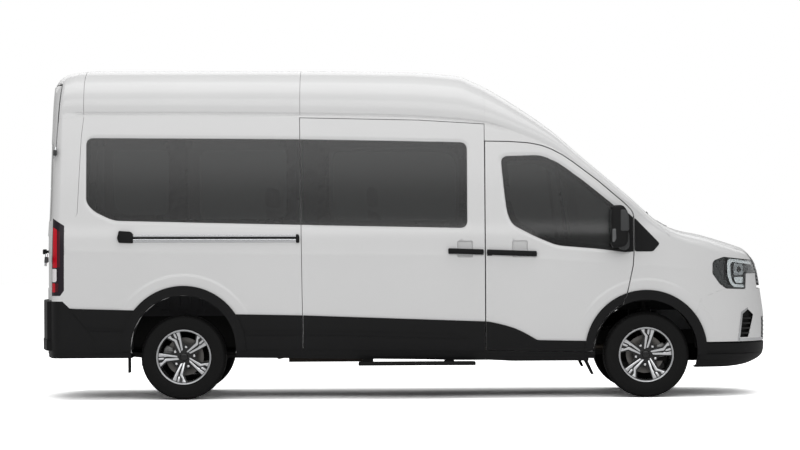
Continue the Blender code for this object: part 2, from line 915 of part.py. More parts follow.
def seat_block(name, low_x, high_x, low_z, high_z):
    """A small block on a door frame's flange, just short of the door's inner face."""
    made = solid_copy(DOOR_SEAT, name, home=CUTTERS)
    return keep(made, box(name + "_limits", (low_x, -1.20, low_z), (high_x, -0.80, high_z), PAINT, CUTTERS))


join(side_panels[RIGHT], door_frame("sliding_frame", SLIDING_DOOR_LINE, SLIDING_DOOR_LINE, RIGHT, -1.0, ROOF_SEAM_X - 0.004))
for block in ((-0.812, -0.780, 1.280, 1.320), (0.605, 0.635, 0.420, 0.445), (-0.812, -0.780, 2.180, 2.215)):
    roller = seat_block("roller_seat", *block)
    join(side_panels[RIGHT], cut(roller, FLANGE_MIDDLE))

# Cab frame: roof cap, windscreen pillars, door posts and scuttle in one piece
cab_line = [
    (ROOF_SEAM_X + SEAT_GAP, 2.9),
    (ROOF_SEAM_X + SEAT_GAP, 0.24),
    (1.500, 0.24),
    (1.500, 0.40),
    (0.900, 1.30),
    (1.820, 1.465),
    (2.000, 1.480),
    (2.160, 1.30),
    (2.160, 2.9),
]
cab_keep = prism("cab_keep", cab_line, "XZ", -1.3, 1.3)
door_cutters = [
    side_prism("front_door_opening_right", grown(FRONT_DOOR_LINE, 0.008), RIGHT),
    side_prism("front_door_opening_left", grown(FRONT_DOOR_LINE, 0.008), LEFT),
]
screen_seat = solid_copy(windscreen_region, "screen_seat", home=CUTTERS)
cut(screen_seat, GLASS_SEAT)
right_half = box("right_half", (-3.2, -1.4, 0.0), (3.2, 0.050, 3.0), PAINT, CUTTERS)
cab_frame = panel(
    "cab_frame",
    SHELL,
    [cab_keep, right_half],
    [door_cutters[0], screen_seat, windscreen_opening, bonnet_region],
)
join(
    cab_frame,
    door_frame("front_frame", FRONT_FRAME_LINE, FRONT_DOOR_LINE, RIGHT, ROOF_SEAM_X + 0.004, 2.0),
    box("scuttle", (1.80, -0.940, 1.240), (2.060, 0.050, 1.300), PAINT, CUTTERS),
)
windscreen = panel(
    "windscreen", SKIN, [prism("screen_line", mirrored(WINDSCREEN_PLAN), "XY", 1.30, 2.60)], [], TINTED_GLASS
)
bonnet = panel(
    "bonnet", BONNET_SKIN, [prism("bonnet_line", mirrored(BONNET_PLAN), "XY", 1.02, 1.60)], []
)
firewall = prism(
    "firewall",
    [
        (1.500, 0.545),
        (1.530, 0.545),
        (1.690, 0.850),
        (1.885, 1.000),
        (1.885, 1.260),
        (1.850, 1.260),
        (1.850, 1.020),
        (1.660, 0.875),
    ],
    "XZ",
    -0.935,
    0.050,
)
join(cab_frame, firewall)
for block in ((1.785, 1.818, 0.960, 1.010), (1.785, 1.818, 1.300, 1.350)):
    hinge = seat_block("hinge_seat", *block)
    join(cab_frame, cut(hinge, FLANGE_MIDDLE))
bonnet_seat = solid_copy(hull("bonnet_seat_form", 0.0303), "bonnet_hinge", home=CUTTERS)
keep(bonnet_seat, box("bonnet_hinge_limits", (2.207, -0.640, 1.250), (2.240, -0.600, 1.450), PAINT, CUTTERS))
join(
    bonnet_seat,
    box("bonnet_hinge_arm", (2.040, -0.640, 1.255), (2.238, -0.600, 1.290), PAINT, CUTTERS),
)
join(cab_frame, bonnet_seat)
mirror_whole(cab_frame)

# Front wings with their arch liners, lamps, grille and bumpers
WING_LINE = [
    (1.790, 0.240),
    (1.790, 0.780),
    (1.815, 0.880),
    (1.820, 1.4647),
    (1.9996, 1.4796),
    (2.1596, 1.2996),
    (2.1605, 1.5000),
    (3.100, 1.5000),
    (3.100, 0.240),
]
GRILLE_HALF = 0.560
grille_region = box(
    "grille_region",
    (2.700, -GRILLE_HALF - SEAT_GAP, 0.870),
    (3.100, GRILLE_HALF + SEAT_GAP, 1.300),
    PAINT,
    CUTTERS,
)
frame_seat = hull("frame_seat", 0.0497)
keep(frame_seat, prism("frame_seat_line", grown(FRONT_FRAME_LINE, 0.0303), "XZ", -1.3, 1.3))
cab_clear = prism("cab_clear", grown(cab_line, SEAT_GAP), "XZ", -1.3, 1.3)
for side in (RIGHT, LEFT):
    tag = "right" if side == RIGHT else "left"
    lamp_seat = side_prism("lamp_seat_" + tag, grown(LAMP_LINE, SEAT_GAP), side, GRILLE_HALF)
    wing = panel(
        "wing_" + tag,
        SHELL,
        [side_prism("wing_line_" + tag, WING_LINE, side, 0.40)],
        [
            door_cutters[0 if side == RIGHT else 1],
            front_bumper_region,
            bonnet_region,
            lamp_seat,
            grille_region,
            cab_clear,
            screen_seat,
            frame_seat,
        ],
    )
    liner = prism(
        "liner_" + tag,
        arc_points(FRONT_ARCH, FRONT_ARCH_RADIUS + 0.030, 0, 180, 8)
        + arc_points(FRONT_ARCH, FRONT_ARCH_RADIUS + 0.014, 180, 0, 8),
        "XZ",
        *((0.560, 0.960) if side == LEFT else (-0.960, -0.560)),
    )
    near = sorted((side * 0.872, side * 1.400))
    cut(liner, box("liner_end_" + tag, (1.30, near[0], 0.2), (1.905, near[1], 1.2), PAINT, CUTTERS))
    cut(liner, front_bumper_region)
    y0, y1 = sorted((side * 0.740, side * 0.870))
    flap_x = FRONT_AXLE_X - FRONT_ARCH_RADIUS - 0.015
    join(liner, box("mudflap", (flap_x - 0.013, y0, 0.190), (flap_x, y1, 0.410), PAINT))
    join(wing, liner)
    wings[side] = wing
    panel(
        "headlamp_" + tag,
        SHELL,
        [side_prism("lamp_line_" + tag, LAMP_LINE, side, GRILLE_HALF + SEAT_GAP)],
        [front_bumper_region, bonnet_region],
        LAMP_CLEAR,
    )
grille = panel(
    "grille",
    SHELL,
    [box("grille_keep", (2.700, -GRILLE_HALF, 0.8705), (3.100, GRILLE_HALF, 1.2995), PAINT, CUTTERS)],
    [front_bumper_region, bonnet_region],
    BLACK_PLASTIC,
)
front_bumper = panel(
    "front_bumper",
    SHELL,
    [prism("front_bumper_keep", FRONT_BUMPER_LINE, "XZ", -1.3, 1.3)],
    [],
)
rear_bumper = panel(
    "rear_bumper",
    SHELL,
    [prism("rear_bumper_keep", REAR_BUMPER_LINE, "XZ", -1.3, 1.3)],
    [],
    BLACK_PLASTIC,
)
join(
    rear_bumper,
    box("rear_step", (-2.991, -0.930, 0.400), (-2.890, 0.930, 0.8025), BLACK_PLASTIC, bevel=0.025),
)

# Rear doors with their glass
for side in (RIGHT, LEFT):
    tag = "right" if side == RIGHT else "left"
    door = panel("rear_door_" + tag, SHELL, [rear_door_form("rear_door_form_" + tag, side, 0.0, 0.0)], [])
    window = rounded(
        [(side * y, z) for y, z in ((0.090, 1.455), (0.820, 1.455), (0.780, 2.090), (0.090, 2.090))], 0.06, 2
    )
    panel(
        "rear_door_glass_" + tag,
        SKIN,
        [prism("rear_glass_line_" + tag, window, "YZ", -3.10, -2.86)],
        [],
        TINTED_GLASS,
    )
    seat = prism("rear_glass_seat_" + tag, grown(window, SEAT_GAP), "YZ", -3.10, -2.86)
    cut(seat, GLASS_SEAT)
    opening = rounded(
        [(side * y, z) for y, z in ((0.135, 1.500), (0.772, 1.500), (0.740, 2.045), (0.135, 2.045))], 0.03, 2
    )
    cut(door, seat, prism("rear_opening_" + tag, opening, "YZ", -3.10, -2.80))

for side in (RIGHT, LEFT):
    tag = "right" if side == RIGHT else "left"
    foot = Vector((REAR_HINGE_FOOT[0], side * REAR_HINGE_FOOT[1], REAR_HINGE_FOOT[2]))
    head = Vector((REAR_HINGE_HEAD[0], side * REAR_HINGE_HEAD[1], REAR_HINGE_HEAD[2]))
    along = (head - foot).normalized()
    for index, at in enumerate((foot, head)):
        join(
            side_panels[side],
            rod("hinge_pin", at - along * 0.030, at + along * 0.030, 0.011, PAINT, sides=12),
            box(
                "hinge_leaf",
                (at.x + 0.003, min(at.y - side * 0.060, at.y - side * 0.003), at.z - 0.024),
                (at.x + 0.034, max(at.y - side * 0.060, at.y - side * 0.003), at.z + 0.024),
                PAINT,
            ),
        )
        strap = box(
            "hinge_strap",
            (at.x - 0.058, min(at.y - side * 0.070, at.y - side * 0.004), at.z - 0.020),
            (at.x - 0.0125, max(at.y - side * 0.070, at.y - side * 0.004), at.z + 0.020),
            PAINT,
        )
        join(bpy.data.objects["rear_door_" + tag], strap)

# Floor with rails, cross members and rear wheel boxes
FLOOR_TOP = 0.540
RAIL_BOTTOM = 0.400
floor = box("floor", (-2.700, -0.9410, 0.500), (0.590, 0.9410, FLOOR_TOP), STEEL)
join(floor, box("rear_floor", (-2.875, -0.8800, 0.500), (-2.680, 0.8800, FLOOR_TOP), STEEL))
join(floor, box("cab_floor", (0.560, -0.8985, 0.500), (1.4995, 0.8985, FLOOR_TOP), STEEL))
for side in (RIGHT, LEFT):
    near, far = sorted((side * 0.620, side * 1.100))
    cut(
        floor,
        prism("wheel_box_gap", arc_points(REAR_ARCH, REAR_ARCH_RADIUS + 0.017, 11.25, 348.75, 15), "XZ", near, far),
        box("door_gap", (-0.935, -1.2, 0.4), (-0.735, -0.8900, 0.6), PAINT, CUTTERS),
        box("post_gap", (0.570, min(side * 0.8985, side * 1.2), 0.4), (0.760, max(side * 0.8985, side * 1.2), 0.6), PAINT, CUTTERS),
    )
    y0, y1 = sorted((side * 0.605, side * 0.9250))
    wheel_box = prism("wheel_box", arc_points(REAR_ARCH, REAR_ARCH_RADIUS + 0.025, 0, 180, 8), "XZ", y0, y1, STEEL)
    y0, y1 = sorted((side * 0.620, side * 1.100))
    cut(
        wheel_box,
        prism("wheel_box_inside", arc_points(REAR_ARCH, REAR_ARCH_RADIUS + 0.009, 0, 337.5, 15), "XZ", y0, y1),
    )
    join(floor, wheel_box)
    y0, y1 = sorted((side * 0.740, side * 0.900))
    flap_x = REAR_AXLE_X - REAR_ARCH_RADIUS - 0.0115
    join(floor, box("mudflap", (flap_x - 0.015, y0, 0.218), (flap_x, y1, 0.500), STEEL))
    y0, y1 = sorted((side * 0.390, side * 0.450))
    join(
        floor,
        box("rail", (-2.860, y0, RAIL_BOTTOM), (1.520, y1, 0.510), STEEL),
        box("front_rail", (1.480, y0, 0.420), (2.780, y1, 0.535), STEEL),
    )
for x in (-2.800, -1.200, -0.620, 0.450, 1.050, 1.430):
    wide = 0.880 if x > -2.0 else 0.600
    join(floor, box("cross_member", (x, -wide, 0.430), (x + 0.060, wide, 0.505), STEEL))
join(floor, box("front_member", (2.740, -0.500, 0.430), (2.790, 0.500, 0.570), STEEL))

# Wheels
TYRE_PROFILE = [
    (0.2185, -0.100),
    (TYRE_RADIUS - 0.061, -TYRE_WIDTH / 2),
    (TYRE_RADIUS - 0.012, -TYRE_WIDTH / 2 + 0.0115),
    (TYRE_RADIUS, -TYRE_WIDTH / 2 + 0.0375),
    (TYRE_RADIUS, TYRE_WIDTH / 2 - 0.0375),
    (TYRE_RADIUS - 0.012, TYRE_WIDTH / 2 - 0.0115),
    (TYRE_RADIUS - 0.061, TYRE_WIDTH / 2),
    (0.2185, 0.106),
]
BARREL_PROFILE = [
    (0.198, -0.100),
    (0.218, -0.100),
    (0.218, 0.107),
    (0.204, 0.107),
]
for end, axle_x in (("front", FRONT_AXLE_X), ("rear", REAR_AXLE_X)):
    for side in (RIGHT, LEFT):
        tag = end + ("_right" if side == RIGHT else "_left")
        centre = (axle_x, side * WHEEL_Y, TYRE_RADIUS)
        tyre = turned("tyre_" + tag, [(r, y * side) for r, y in TYRE_PROFILE], centre, RUBBER, WHEEL_STEPS)
        rim = turned("rim_" + tag, [(r, y * side) for r, y in BARREL_PROFILE], centre, ALLOY, WHEEL_STEPS)
        disc = rod(
            "disc",
            (axle_x, side * (WHEEL_Y - 0.015), TYRE_RADIUS),
            (axle_x, side * (WHEEL_Y + 0.015), TYRE_RADIUS),
            0.204,
            ALLOY,
            sides=WHEEL_STEPS,
        )
        for spoke in range(5):
            turn = 72 * spoke + (54 if end == "front" else 9)
            outline = [
                (axle_x + dx, TYRE_RADIUS + dz)
                for dx, dz in arc_points((0, 0), 0.182, turn - 22, turn + 22, 1)
                + arc_points((0, 0), 0.090, turn + 12, turn - 12, 1)
            ]
            cut(disc, prism("window", outline, "XZ", *sorted((side * 0.80, side * 0.92))))
        cut(
            disc,
            rod(
                "bore",
                (axle_x, side * 0.70, TYRE_RADIUS),
                (axle_x, side * 0.95, TYRE_RADIUS),
                SPIGOT_RADIUS + SPIGOT_PLAY,
                ALLOY,
                CUTTERS,
                sides=12,
            ),
        )
        join(rim, disc)
        origin_to(tyre, centre)
        origin_to(rim, centre)

# Steered knuckles with hub, brake disc and caliper
for side in (RIGHT, LEFT):
    tag = "right" if side == RIGHT else "left"
    knuckle = rod(
        "knuckle_" + tag,
        (FRONT_AXLE_X, side * 0.730, TYRE_RADIUS),
        (FRONT_AXLE_X, side * 0.838, TYRE_RADIUS),
        0.060,
        STEEL,
        sides=12,
    )
    y0, y1 = sorted((side * 0.735, side * 0.772))
    c0, c1 = sorted((side * 0.745, side * 0.822))
    join(
        knuckle,
        rod(
            "brake_disc",
            (FRONT_AXLE_X, side * 0.780, TYRE_RADIUS),
            (FRONT_AXLE_X, side * 0.806, TYRE_RADIUS),
            0.152,
            STEEL,
            sides=12,
        ),
        rod(
            "spigot",
            (FRONT_AXLE_X, side * 0.800, TYRE_RADIUS),
            (FRONT_AXLE_X, side * 0.868, TYRE_RADIUS),
            SPIGOT_RADIUS,
            STEEL,
            sides=12,
        ),
        box(
            "upright",
            (FRONT_AXLE_X - 0.045, y0, ARM_TOP + 0.0005),
            (FRONT_AXLE_X + 0.045, y1, TYRE_RADIUS + 0.141),
            STEEL,
        ),
        box(
            "caliper",
            (FRONT_AXLE_X + 0.095, c0, TYRE_RADIUS - 0.056),
            (FRONT_AXLE_X + 0.172, c1, TYRE_RADIUS + 0.056),
            STEEL,
        ),
        box(
            "caliper_arm",
            (FRONT_AXLE_X + 0.030, y0, TYRE_RADIUS - 0.026),
            (FRONT_AXLE_X + 0.110, y1, TYRE_RADIUS + 0.026),
            STEEL,
        ),
    )
    origin_to(knuckle, (FRONT_AXLE_X, side * KINGPIN_Y, TYRE_RADIUS))

# Front suspension: subframe, lower arms and spring legs
suspension = box("front_suspension", (1.760, -0.440, 0.255), (2.170, 0.440, 0.350), STEEL)
for side in (RIGHT, LEFT):
    y0, y1 = sorted((side * 0.380, side * 0.725))
    join(
        suspension,
        prism(
            "arm",
            [
                (1.790, side * 0.420),
                (2.150, side * 0.420),
                (FRONT_AXLE_X + 0.035, side * (KINGPIN_Y - 0.020)),
                (FRONT_AXLE_X + 0.018, side * (KINGPIN_Y + 0.010)),
                (FRONT_AXLE_X - 0.018, side * (KINGPIN_Y + 0.010)),
                (FRONT_AXLE_X - 0.035, side * (KINGPIN_Y - 0.020)),
            ],
            "XY",
            ARM_TOP - 0.060,
            ARM_TOP,
            STEEL,
            PARTS,
        ),
        box(
            "subframe_post_" + str(side),
            (1.800, min(side * 0.395, side * 0.435), 0.340),
            (1.860, max(side * 0.395, side * 0.435), 0.4197),
            STEEL,
        ),
        rod("leg", (FRONT_AXLE_X, side * 0.600, 0.250), (FRONT_AXLE_X, side * 0.600, 0.785), 0.025, STEEL),
        rod("spring", (FRONT_AXLE_X, side * 0.600, 0.420), (FRONT_AXLE_X, side * 0.600, 0.720), 0.058, STEEL),
        box(
            "tower_" + str(side),
            (1.910, min(side * 0.400, side * 0.640), 0.770),
            (2.025, max(side * 0.400, side * 0.640), 0.790),
            STEEL,
        ),
        box(
            "tower_leg_" + str(side),
            (1.910, min(side * 0.455, side * 0.500), 0.300),
            (2.025, max(side * 0.455, side * 0.500), 0.785),
            STEEL,
        ),
        box(
            "tower_foot_" + str(side),
            (1.910, min(side * 0.400, side * 0.500), 0.300),
            (2.025, max(side * 0.400, side * 0.500), 0.350),
            STEEL,
        ),
    )

# Rear axle with leaf springs, brakes and propshaft
rear_axle = rod(
    "rear_axle", (REAR_AXLE_X, -0.838, TYRE_RADIUS), (REAR_AXLE_X, 0.838, TYRE_RADIUS), 0.045, STEEL, sides=12
)
join(
    rear_axle,
    rod("final_drive", (REAR_AXLE_X, -0.110, TYRE_RADIUS), (REAR_AXLE_X, 0.110, TYRE_RADIUS), 0.130, STEEL, sides=12),
    rod("propshaft", (REAR_AXLE_X + 0.050, 0, TYRE_RADIUS), (1.700, 0, 0.360), 0.040, STEEL, sides=12),
)
for side in (RIGHT, LEFT):
    join(
        rear_axle,
        rod(
            "rear_disc",
            (REAR_AXLE_X, side * 0.780, TYRE_RADIUS),
            (REAR_AXLE_X, side * 0.806, TYRE_RADIUS),
            0.150,
            STEEL,
            sides=12,
        ),
        rod(
            "hub",
            (REAR_AXLE_X, side * 0.720, TYRE_RADIUS),
            (REAR_AXLE_X, side * 0.838, TYRE_RADIUS),
            0.065,
            STEEL,
            sides=12,
        ),
        rod(
            "spigot",
            (REAR_AXLE_X, side * 0.800, TYRE_RADIUS),
            (REAR_AXLE_X, side * 0.868, TYRE_RADIUS),
            SPIGOT_RADIUS,
            STEEL,
            sides=12,
        ),
        prism(
            "leaf_spring",
            [
                (REAR_AXLE_X - 0.660, RAIL_BOTTOM - SEAT_GAP),
                (REAR_AXLE_X - 0.660, RAIL_BOTTOM - 0.040),
                (REAR_AXLE_X, TYRE_RADIUS - 0.066),
                (REAR_AXLE_X + 0.660, RAIL_BOTTOM - 0.040),
                (REAR_AXLE_X + 0.660, RAIL_BOTTOM - SEAT_GAP),
                (REAR_AXLE_X, TYRE_RADIUS - 0.026),
            ],
            "XZ",
            *sorted((side * 0.386, side * 0.454)),
            STEEL,
            PARTS,
        ),
    )

# Engine, exhaust and spare wheel
engine = box("engine", (2.060, -0.330, 0.420), (2.640, 0.330, 1.020), STEEL, bevel=0.04)
join(engine, box("engine_mount", (2.250, -0.3897, 0.450), (2.330, 0.3897, 0.490), STEEL))
exhaust = rod("exhaust", (1.900, -0.220, 0.400), (-0.300, -0.220, 0.380), 0.030, STEEL, sides=12)
join(
    exhaust,
    rod("silencer", (-0.250, -0.220, 0.350), (-0.950, -0.220, 0.350), 0.075, STEEL, sides=12),
    box("hanger", (-0.610, -0.240, 0.380), (-0.570, -0.200, 0.4297), STEEL),
    box("hanger_front", (1.060, -0.240, 0.380), (1.100, -0.200, 0.4297), STEEL),
    rod("tail_pipe", (-0.900, -0.220, 0.350), (-1.020, -0.620, 0.340), 0.027, STEEL, sides=12),
)
spare_wheel = rod("spare_wheel", (-2.380, 0, 0.360), (-2.380, 0, 0.4997), 0.340, RUBBER, sides=32)

# Seats
def seat(at, side_low, side_high, base, name):
    """One bench: cushion and upright back with head restraints, facing forward."""
    made = prism(
        name,
        [
            (at, base),
            (at + 0.470, base),
            (at + 0.470, base + 0.130),
            (at + 0.090, base + 0.130),
            (at - 0.050, base + 0.640),
            (at - 0.140, base + 0.640),
        ],
        "XZ",
        side_low,
        side_high,
        FABRIC,
        PARTS,
    )
    places = max(1, round((side_high - side_low) / 0.45))
    width = (side_high - side_low) / places
    for index in range(places):
        middle = side_low + width * (index + 0.5)
        join(
            made,
            box(
                name + "_head",
                (at - 0.150, middle - 0.120, base + 0.620),
                (at - 0.060, middle + 0.120, base + 0.840),
                FABRIC,
            ),
        )
    return made


passenger_seats = box("passenger_seats", (-2.600, -0.420, 0.5403), (0.300, -0.380, 0.565), FABRIC)
join(
    passenger_seats,
    box("seat_rail", (-2.600, 0.380, 0.5403), (0.300, 0.420, 0.565), FABRIC),
    box("seat_tie", (-2.600, -0.420, 0.5403), (-2.540, 0.420, 0.565), FABRIC),
)
for x in (-2.560, -1.780, -0.980, -0.150):
    for low, high in ((-0.870, -0.440), (-0.020, 0.880)):
        bench = seat(x, low, high, 0.890, "bench")
        post = sorted((math.copysign(0.360, low + high), math.copysign(0.500, low + high)))
        join(bench, box("leg", (x + 0.050, post[0], 0.545), (x + 0.400, post[1], 0.920), FABRIC))
        join(passenger_seats, bench)

cab_seats = box("cab_seats", (0.830, -0.820, 0.5403), (1.250, 0.820, 0.640), FABRIC)
for low, high in ((-0.820, 0.060), (0.230, 0.730)):
    bench = seat(0.800, low, high, 0.900, "cab_bench")
    join(bench, box("plinth", (0.860, low + 0.03, 0.600), (1.220, high - 0.03, 0.930), FABRIC))
    join(cab_seats, bench)

# Dashboard and steering wheel
dashboard = prism(
    "dashboard",
    [
        (1.520, 0.900),
        (1.460, 1.160),
        (1.540, 1.280),
        (1.940, 1.385),
        (2.020, 1.385),
        (2.020, 1.3003),
        (1.795, 1.3003),
        (1.795, 1.040),
        (1.640, 0.900),
    ],
    "XZ",
    -0.860,
    0.860,
    BLACK_PLASTIC,
    PARTS,
)
ring = [(0.185 + 0.016 * math.cos(a), 0.016 * math.sin(a)) for a in [math.radians(90 * k) for k in range(4)]]
steering_wheel = turned("steering_wheel", ring, (0, 0, 0), BLACK_PLASTIC, 16)
join(
    steering_wheel,
    rod("wheel_hub", (0, -0.020, 0), (0, 0.030, 0), 0.060, BLACK_PLASTIC, sides=12),
    box("wheel_bar", (-0.180, -0.010, -0.020), (0.180, 0.010, 0.020), BLACK_PLASTIC),
    box("wheel_bar_low", (-0.020, -0.010, -0.180), (0.020, 0.010, 0.0), BLACK_PLASTIC),
    rod("column", (0, 0.020, 0), (0, 0.1550, 0), 0.030, BLACK_PLASTIC, sides=12),
)
steering_wheel.data.transform(
    Matrix.Translation((1.330, 0.480, 1.250))
    @ Matrix.Rotation(math.radians(24), 4, "Y")
    @ Matrix.Rotation(math.radians(-90), 4, "Z")
)

# Mirrors, door rail and step
MIRROR_LINE = [(1.686, 1.549), (1.806, 1.549), (1.839, 1.480), (1.832, 1.232), (1.800, 1.211), (1.690, 1.211)]
for side in (RIGHT, LEFT):
    tag = "right" if side == RIGHT else "left"
    outline = rounded(MIRROR_LINE, 0.050, 2)
    mirror = prism("mirror_" + tag, outline, "XZ", *sorted((side * 1.045, side * 1.235)), BLACK_PLASTIC, PARTS)
    soften = mirror.modifiers.new("soften", "BEVEL")
    soften.width = 0.022
    soften.segments = 1
    soften.limit_method = "ANGLE"
    soften.angle_limit = math.radians(60)
    bake(mirror)
    y0, y1 = sorted((side * 0.980, side * 1.080))
    join(mirror, box("mirror_arm", (1.700, y0, 1.270), (1.790, y1, 1.330), BLACK_PLASTIC))
    cut(mirror, OUTER)
    mirror.data.transform(Matrix.Translation((0, side * SEAT_GAP, 0)))

door_rail = box("door_rail", (-2.300, -1.032, 1.278), (-0.845, -0.990, 1.336), BLACK_PLASTIC)
cut(door_rail, OUTER)
door_rail.data.transform(Matrix.Translation((0, -SEAT_GAP, 0)))

side_step = box("side_step", (-0.366, -1.055, 0.270), (0.584, -0.900, 0.300), STEEL)
join(
    side_step,
    box("step_bracket", (-0.330, -0.965, 0.290), (-0.250, -0.920, 0.360), STEEL),
    box("step_bracket_front", (0.330, -0.965, 0.290), (0.410, -0.920, 0.360), STEEL),
)
cut(side_step, OUTER)
side_step.data.transform(Matrix.Translation((0, 0, -SEAT_GAP)))

# Origins of the hinged pieces on their axes
for side in (RIGHT, LEFT):
    tag = "right" if side == RIGHT else "left"
    for name in ("front_door_", "front_door_glass_", "mirror_"):
        origin_to(bpy.data.objects[name + tag], (FRONT_HINGE_X, side * FRONT_HINGE_Y, FRONT_HINGE_Z))
    for name in ("rear_door_", "rear_door_glass_"):
        foot = (REAR_HINGE_FOOT[0], side * REAR_HINGE_FOOT[1], REAR_HINGE_FOOT[2])
        origin_to(bpy.data.objects[name + tag], foot)
origin_to(bonnet, (BONNET_HINGE_X, 0.0, BONNET_HINGE_Z))
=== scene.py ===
"""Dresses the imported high-roof minibus: painted panels, glass, lamps, wheels, trim and seats.

Metres, +X towards the front of the vehicle, +Y towards its left side, +Z up, origin on the ground.
"""

import json
import math

import bpy
from mathutils import Matrix, Vector

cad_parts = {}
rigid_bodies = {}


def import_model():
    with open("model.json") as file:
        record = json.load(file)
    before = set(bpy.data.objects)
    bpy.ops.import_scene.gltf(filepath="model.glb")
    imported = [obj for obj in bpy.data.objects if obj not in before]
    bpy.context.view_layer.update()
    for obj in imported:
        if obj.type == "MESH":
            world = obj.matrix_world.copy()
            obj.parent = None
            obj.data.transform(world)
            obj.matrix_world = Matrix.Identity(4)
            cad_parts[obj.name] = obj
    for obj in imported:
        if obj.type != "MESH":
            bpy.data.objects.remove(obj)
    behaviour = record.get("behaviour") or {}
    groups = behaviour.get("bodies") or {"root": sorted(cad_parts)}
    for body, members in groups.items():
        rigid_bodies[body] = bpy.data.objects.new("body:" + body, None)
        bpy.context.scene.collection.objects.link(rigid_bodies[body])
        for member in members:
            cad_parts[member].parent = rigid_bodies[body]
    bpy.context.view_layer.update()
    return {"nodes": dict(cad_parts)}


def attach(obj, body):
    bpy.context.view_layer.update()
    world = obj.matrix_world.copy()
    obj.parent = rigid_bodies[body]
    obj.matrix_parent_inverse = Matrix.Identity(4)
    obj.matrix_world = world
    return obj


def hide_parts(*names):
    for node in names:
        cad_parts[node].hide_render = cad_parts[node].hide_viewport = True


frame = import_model()

# Camera, set square to the right side from far off, as the photograph was taken
IMAGE_WIDTH = 800
FOCAL_PIXELS = 3828.0
SENSOR_WIDTH = 36.0
CAMERA_PLACE = (-0.023, -32.0, 1.4075)
CAMERA_ROLL = -0.0056
camera_data = bpy.data.cameras.new("camera")
camera_data.sensor_width = SENSOR_WIDTH
camera_data.lens = FOCAL_PIXELS / IMAGE_WIDTH * SENSOR_WIDTH
camera_data.clip_end = 200.0
camera = bpy.data.objects.new("camera", camera_data)
camera.location = CAMERA_PLACE
square_on = Matrix.Rotation(math.pi / 2, 3, "X") @ Matrix.Rotation(CAMERA_ROLL, 3, "Z")
camera.rotation_euler = square_on.to_euler()
bpy.context.scene.collection.objects.link(camera)
bpy.context.scene.camera = camera
bpy.context.scene.view_settings.view_transform = "Standard"


def linear(hex_colour):
    """A linear colour from an sRGB hex value."""
    parts = [int(hex_colour[i : i + 2], 16) / 255 for i in (1, 3, 5)]
    return (*[c / 12.92 if c <= 0.04045 else ((c + 0.055) / 1.055) ** 2.4 for c in parts], 1.0)


def add_node(tree, kind, settings=None, links=None):
    """A shader node with its settings and the sockets that feed it."""
    node = tree.nodes.new("ShaderNode" + kind)
    for name, value in (settings or {}).items():
        if isinstance(name, int) or name in node.inputs:
            node.inputs[name].default_value = value
        else:
            setattr(node, name, value)
    for name, source in (links or {}).items():
        tree.links.new(source, node.inputs[name])
    return node


# Light room: an even pale surround, a wide soft box over the roof and a long one at the near side
ROOM_STRENGTH = 0.46
world = bpy.data.worlds.new("light_room")
world.use_nodes = True
bpy.context.scene.world = world
world.node_tree.nodes.clear()
seen = add_node(world.node_tree, "LightPath")
either = add_node(
    world.node_tree,
    "Math",
    {"operation": "MAXIMUM"},
    {0: seen.outputs["Is Camera Ray"], 1: seen.outputs["Is Transmission Ray"]},
)
shown = add_node(world.node_tree, "Background", {"Color": (1, 1, 1, 1), "Strength": 1.0})
lighting = add_node(world.node_tree, "Background", {"Color": linear("#F6F6F6"), "Strength": ROOM_STRENGTH})
choice = add_node(
    world.node_tree,
    "MixShader",
    {},
    {0: either.outputs[0], 1: lighting.outputs[0], 2: shown.outputs[0]},
)
add_node(world.node_tree, "OutputWorld", {}, {"Surface": choice.outputs[0]})

LAMPS = (
    # name, place, aim, width, depth, watts
    ("roof_box", (0.0, -1.0, 9.0), (0.0, 0.0, 1.0), 14.0, 7.0, 420.0),
    ("side_box", (0.0, -14.0, 7.2), (0.0, 0.0, 1.2), 18.0, 5.0, 620.0),
    ("far_box", (0.0, 14.0, 7.2), (0.0, 0.0, 1.2), 18.0, 5.0, 260.0),
)
for name, place, aim, wide, deep, watts in LAMPS:
    data = bpy.data.lights.new(name, "AREA")
    data.shape = "RECTANGLE"
    data.size = wide
    data.size_y = deep
    data.energy = watts
    lamp = bpy.data.objects.new(name, data)
    lamp.location = place
    lamp.rotation_euler = (Vector(aim) - Vector(place)).to_track_quat("-Z", "Y").to_euler()
    bpy.context.scene.collection.objects.link(lamp)

# Studio floor: matt white board, so pale to the camera that only the vehicle's soft shadow shows
bpy.ops.object.select_all(action="DESELECT")
bpy.ops.mesh.primitive_plane_add(size=120.0, location=(0.0, 0.0, -0.001))
studio_floor = bpy.context.active_object
studio_floor.name = "studio_floor"
floor_paint = bpy.data.materials.new("matt_white_board")
floor_paint.use_nodes = True
floor_tree = floor_paint.node_tree
floor_tree.nodes.clear()
board = add_node(floor_tree, "BsdfDiffuse", {"Color": linear("#EDEDED")})
bleached = add_node(floor_tree, "BsdfDiffuse", {"Color": (2.6, 2.6, 2.6, 1.0)})
looked_at = add_node(floor_tree, "LightPath")
straight = add_node(
    floor_tree,
    "Math",
    {"operation": "MAXIMUM"},
    {0: looked_at.outputs["Is Camera Ray"], 1: looked_at.outputs["Is Transmission Ray"]},
)
board_choice = add_node(
    floor_tree, "MixShader", {}, {0: straight.outputs[0], 1: board.outputs[0], 2: bleached.outputs[0]}
)
add_node(floor_tree, "OutputMaterial", {}, {"Surface": board_choice.outputs[0]})
studio_floor.data.materials.append(floor_paint)

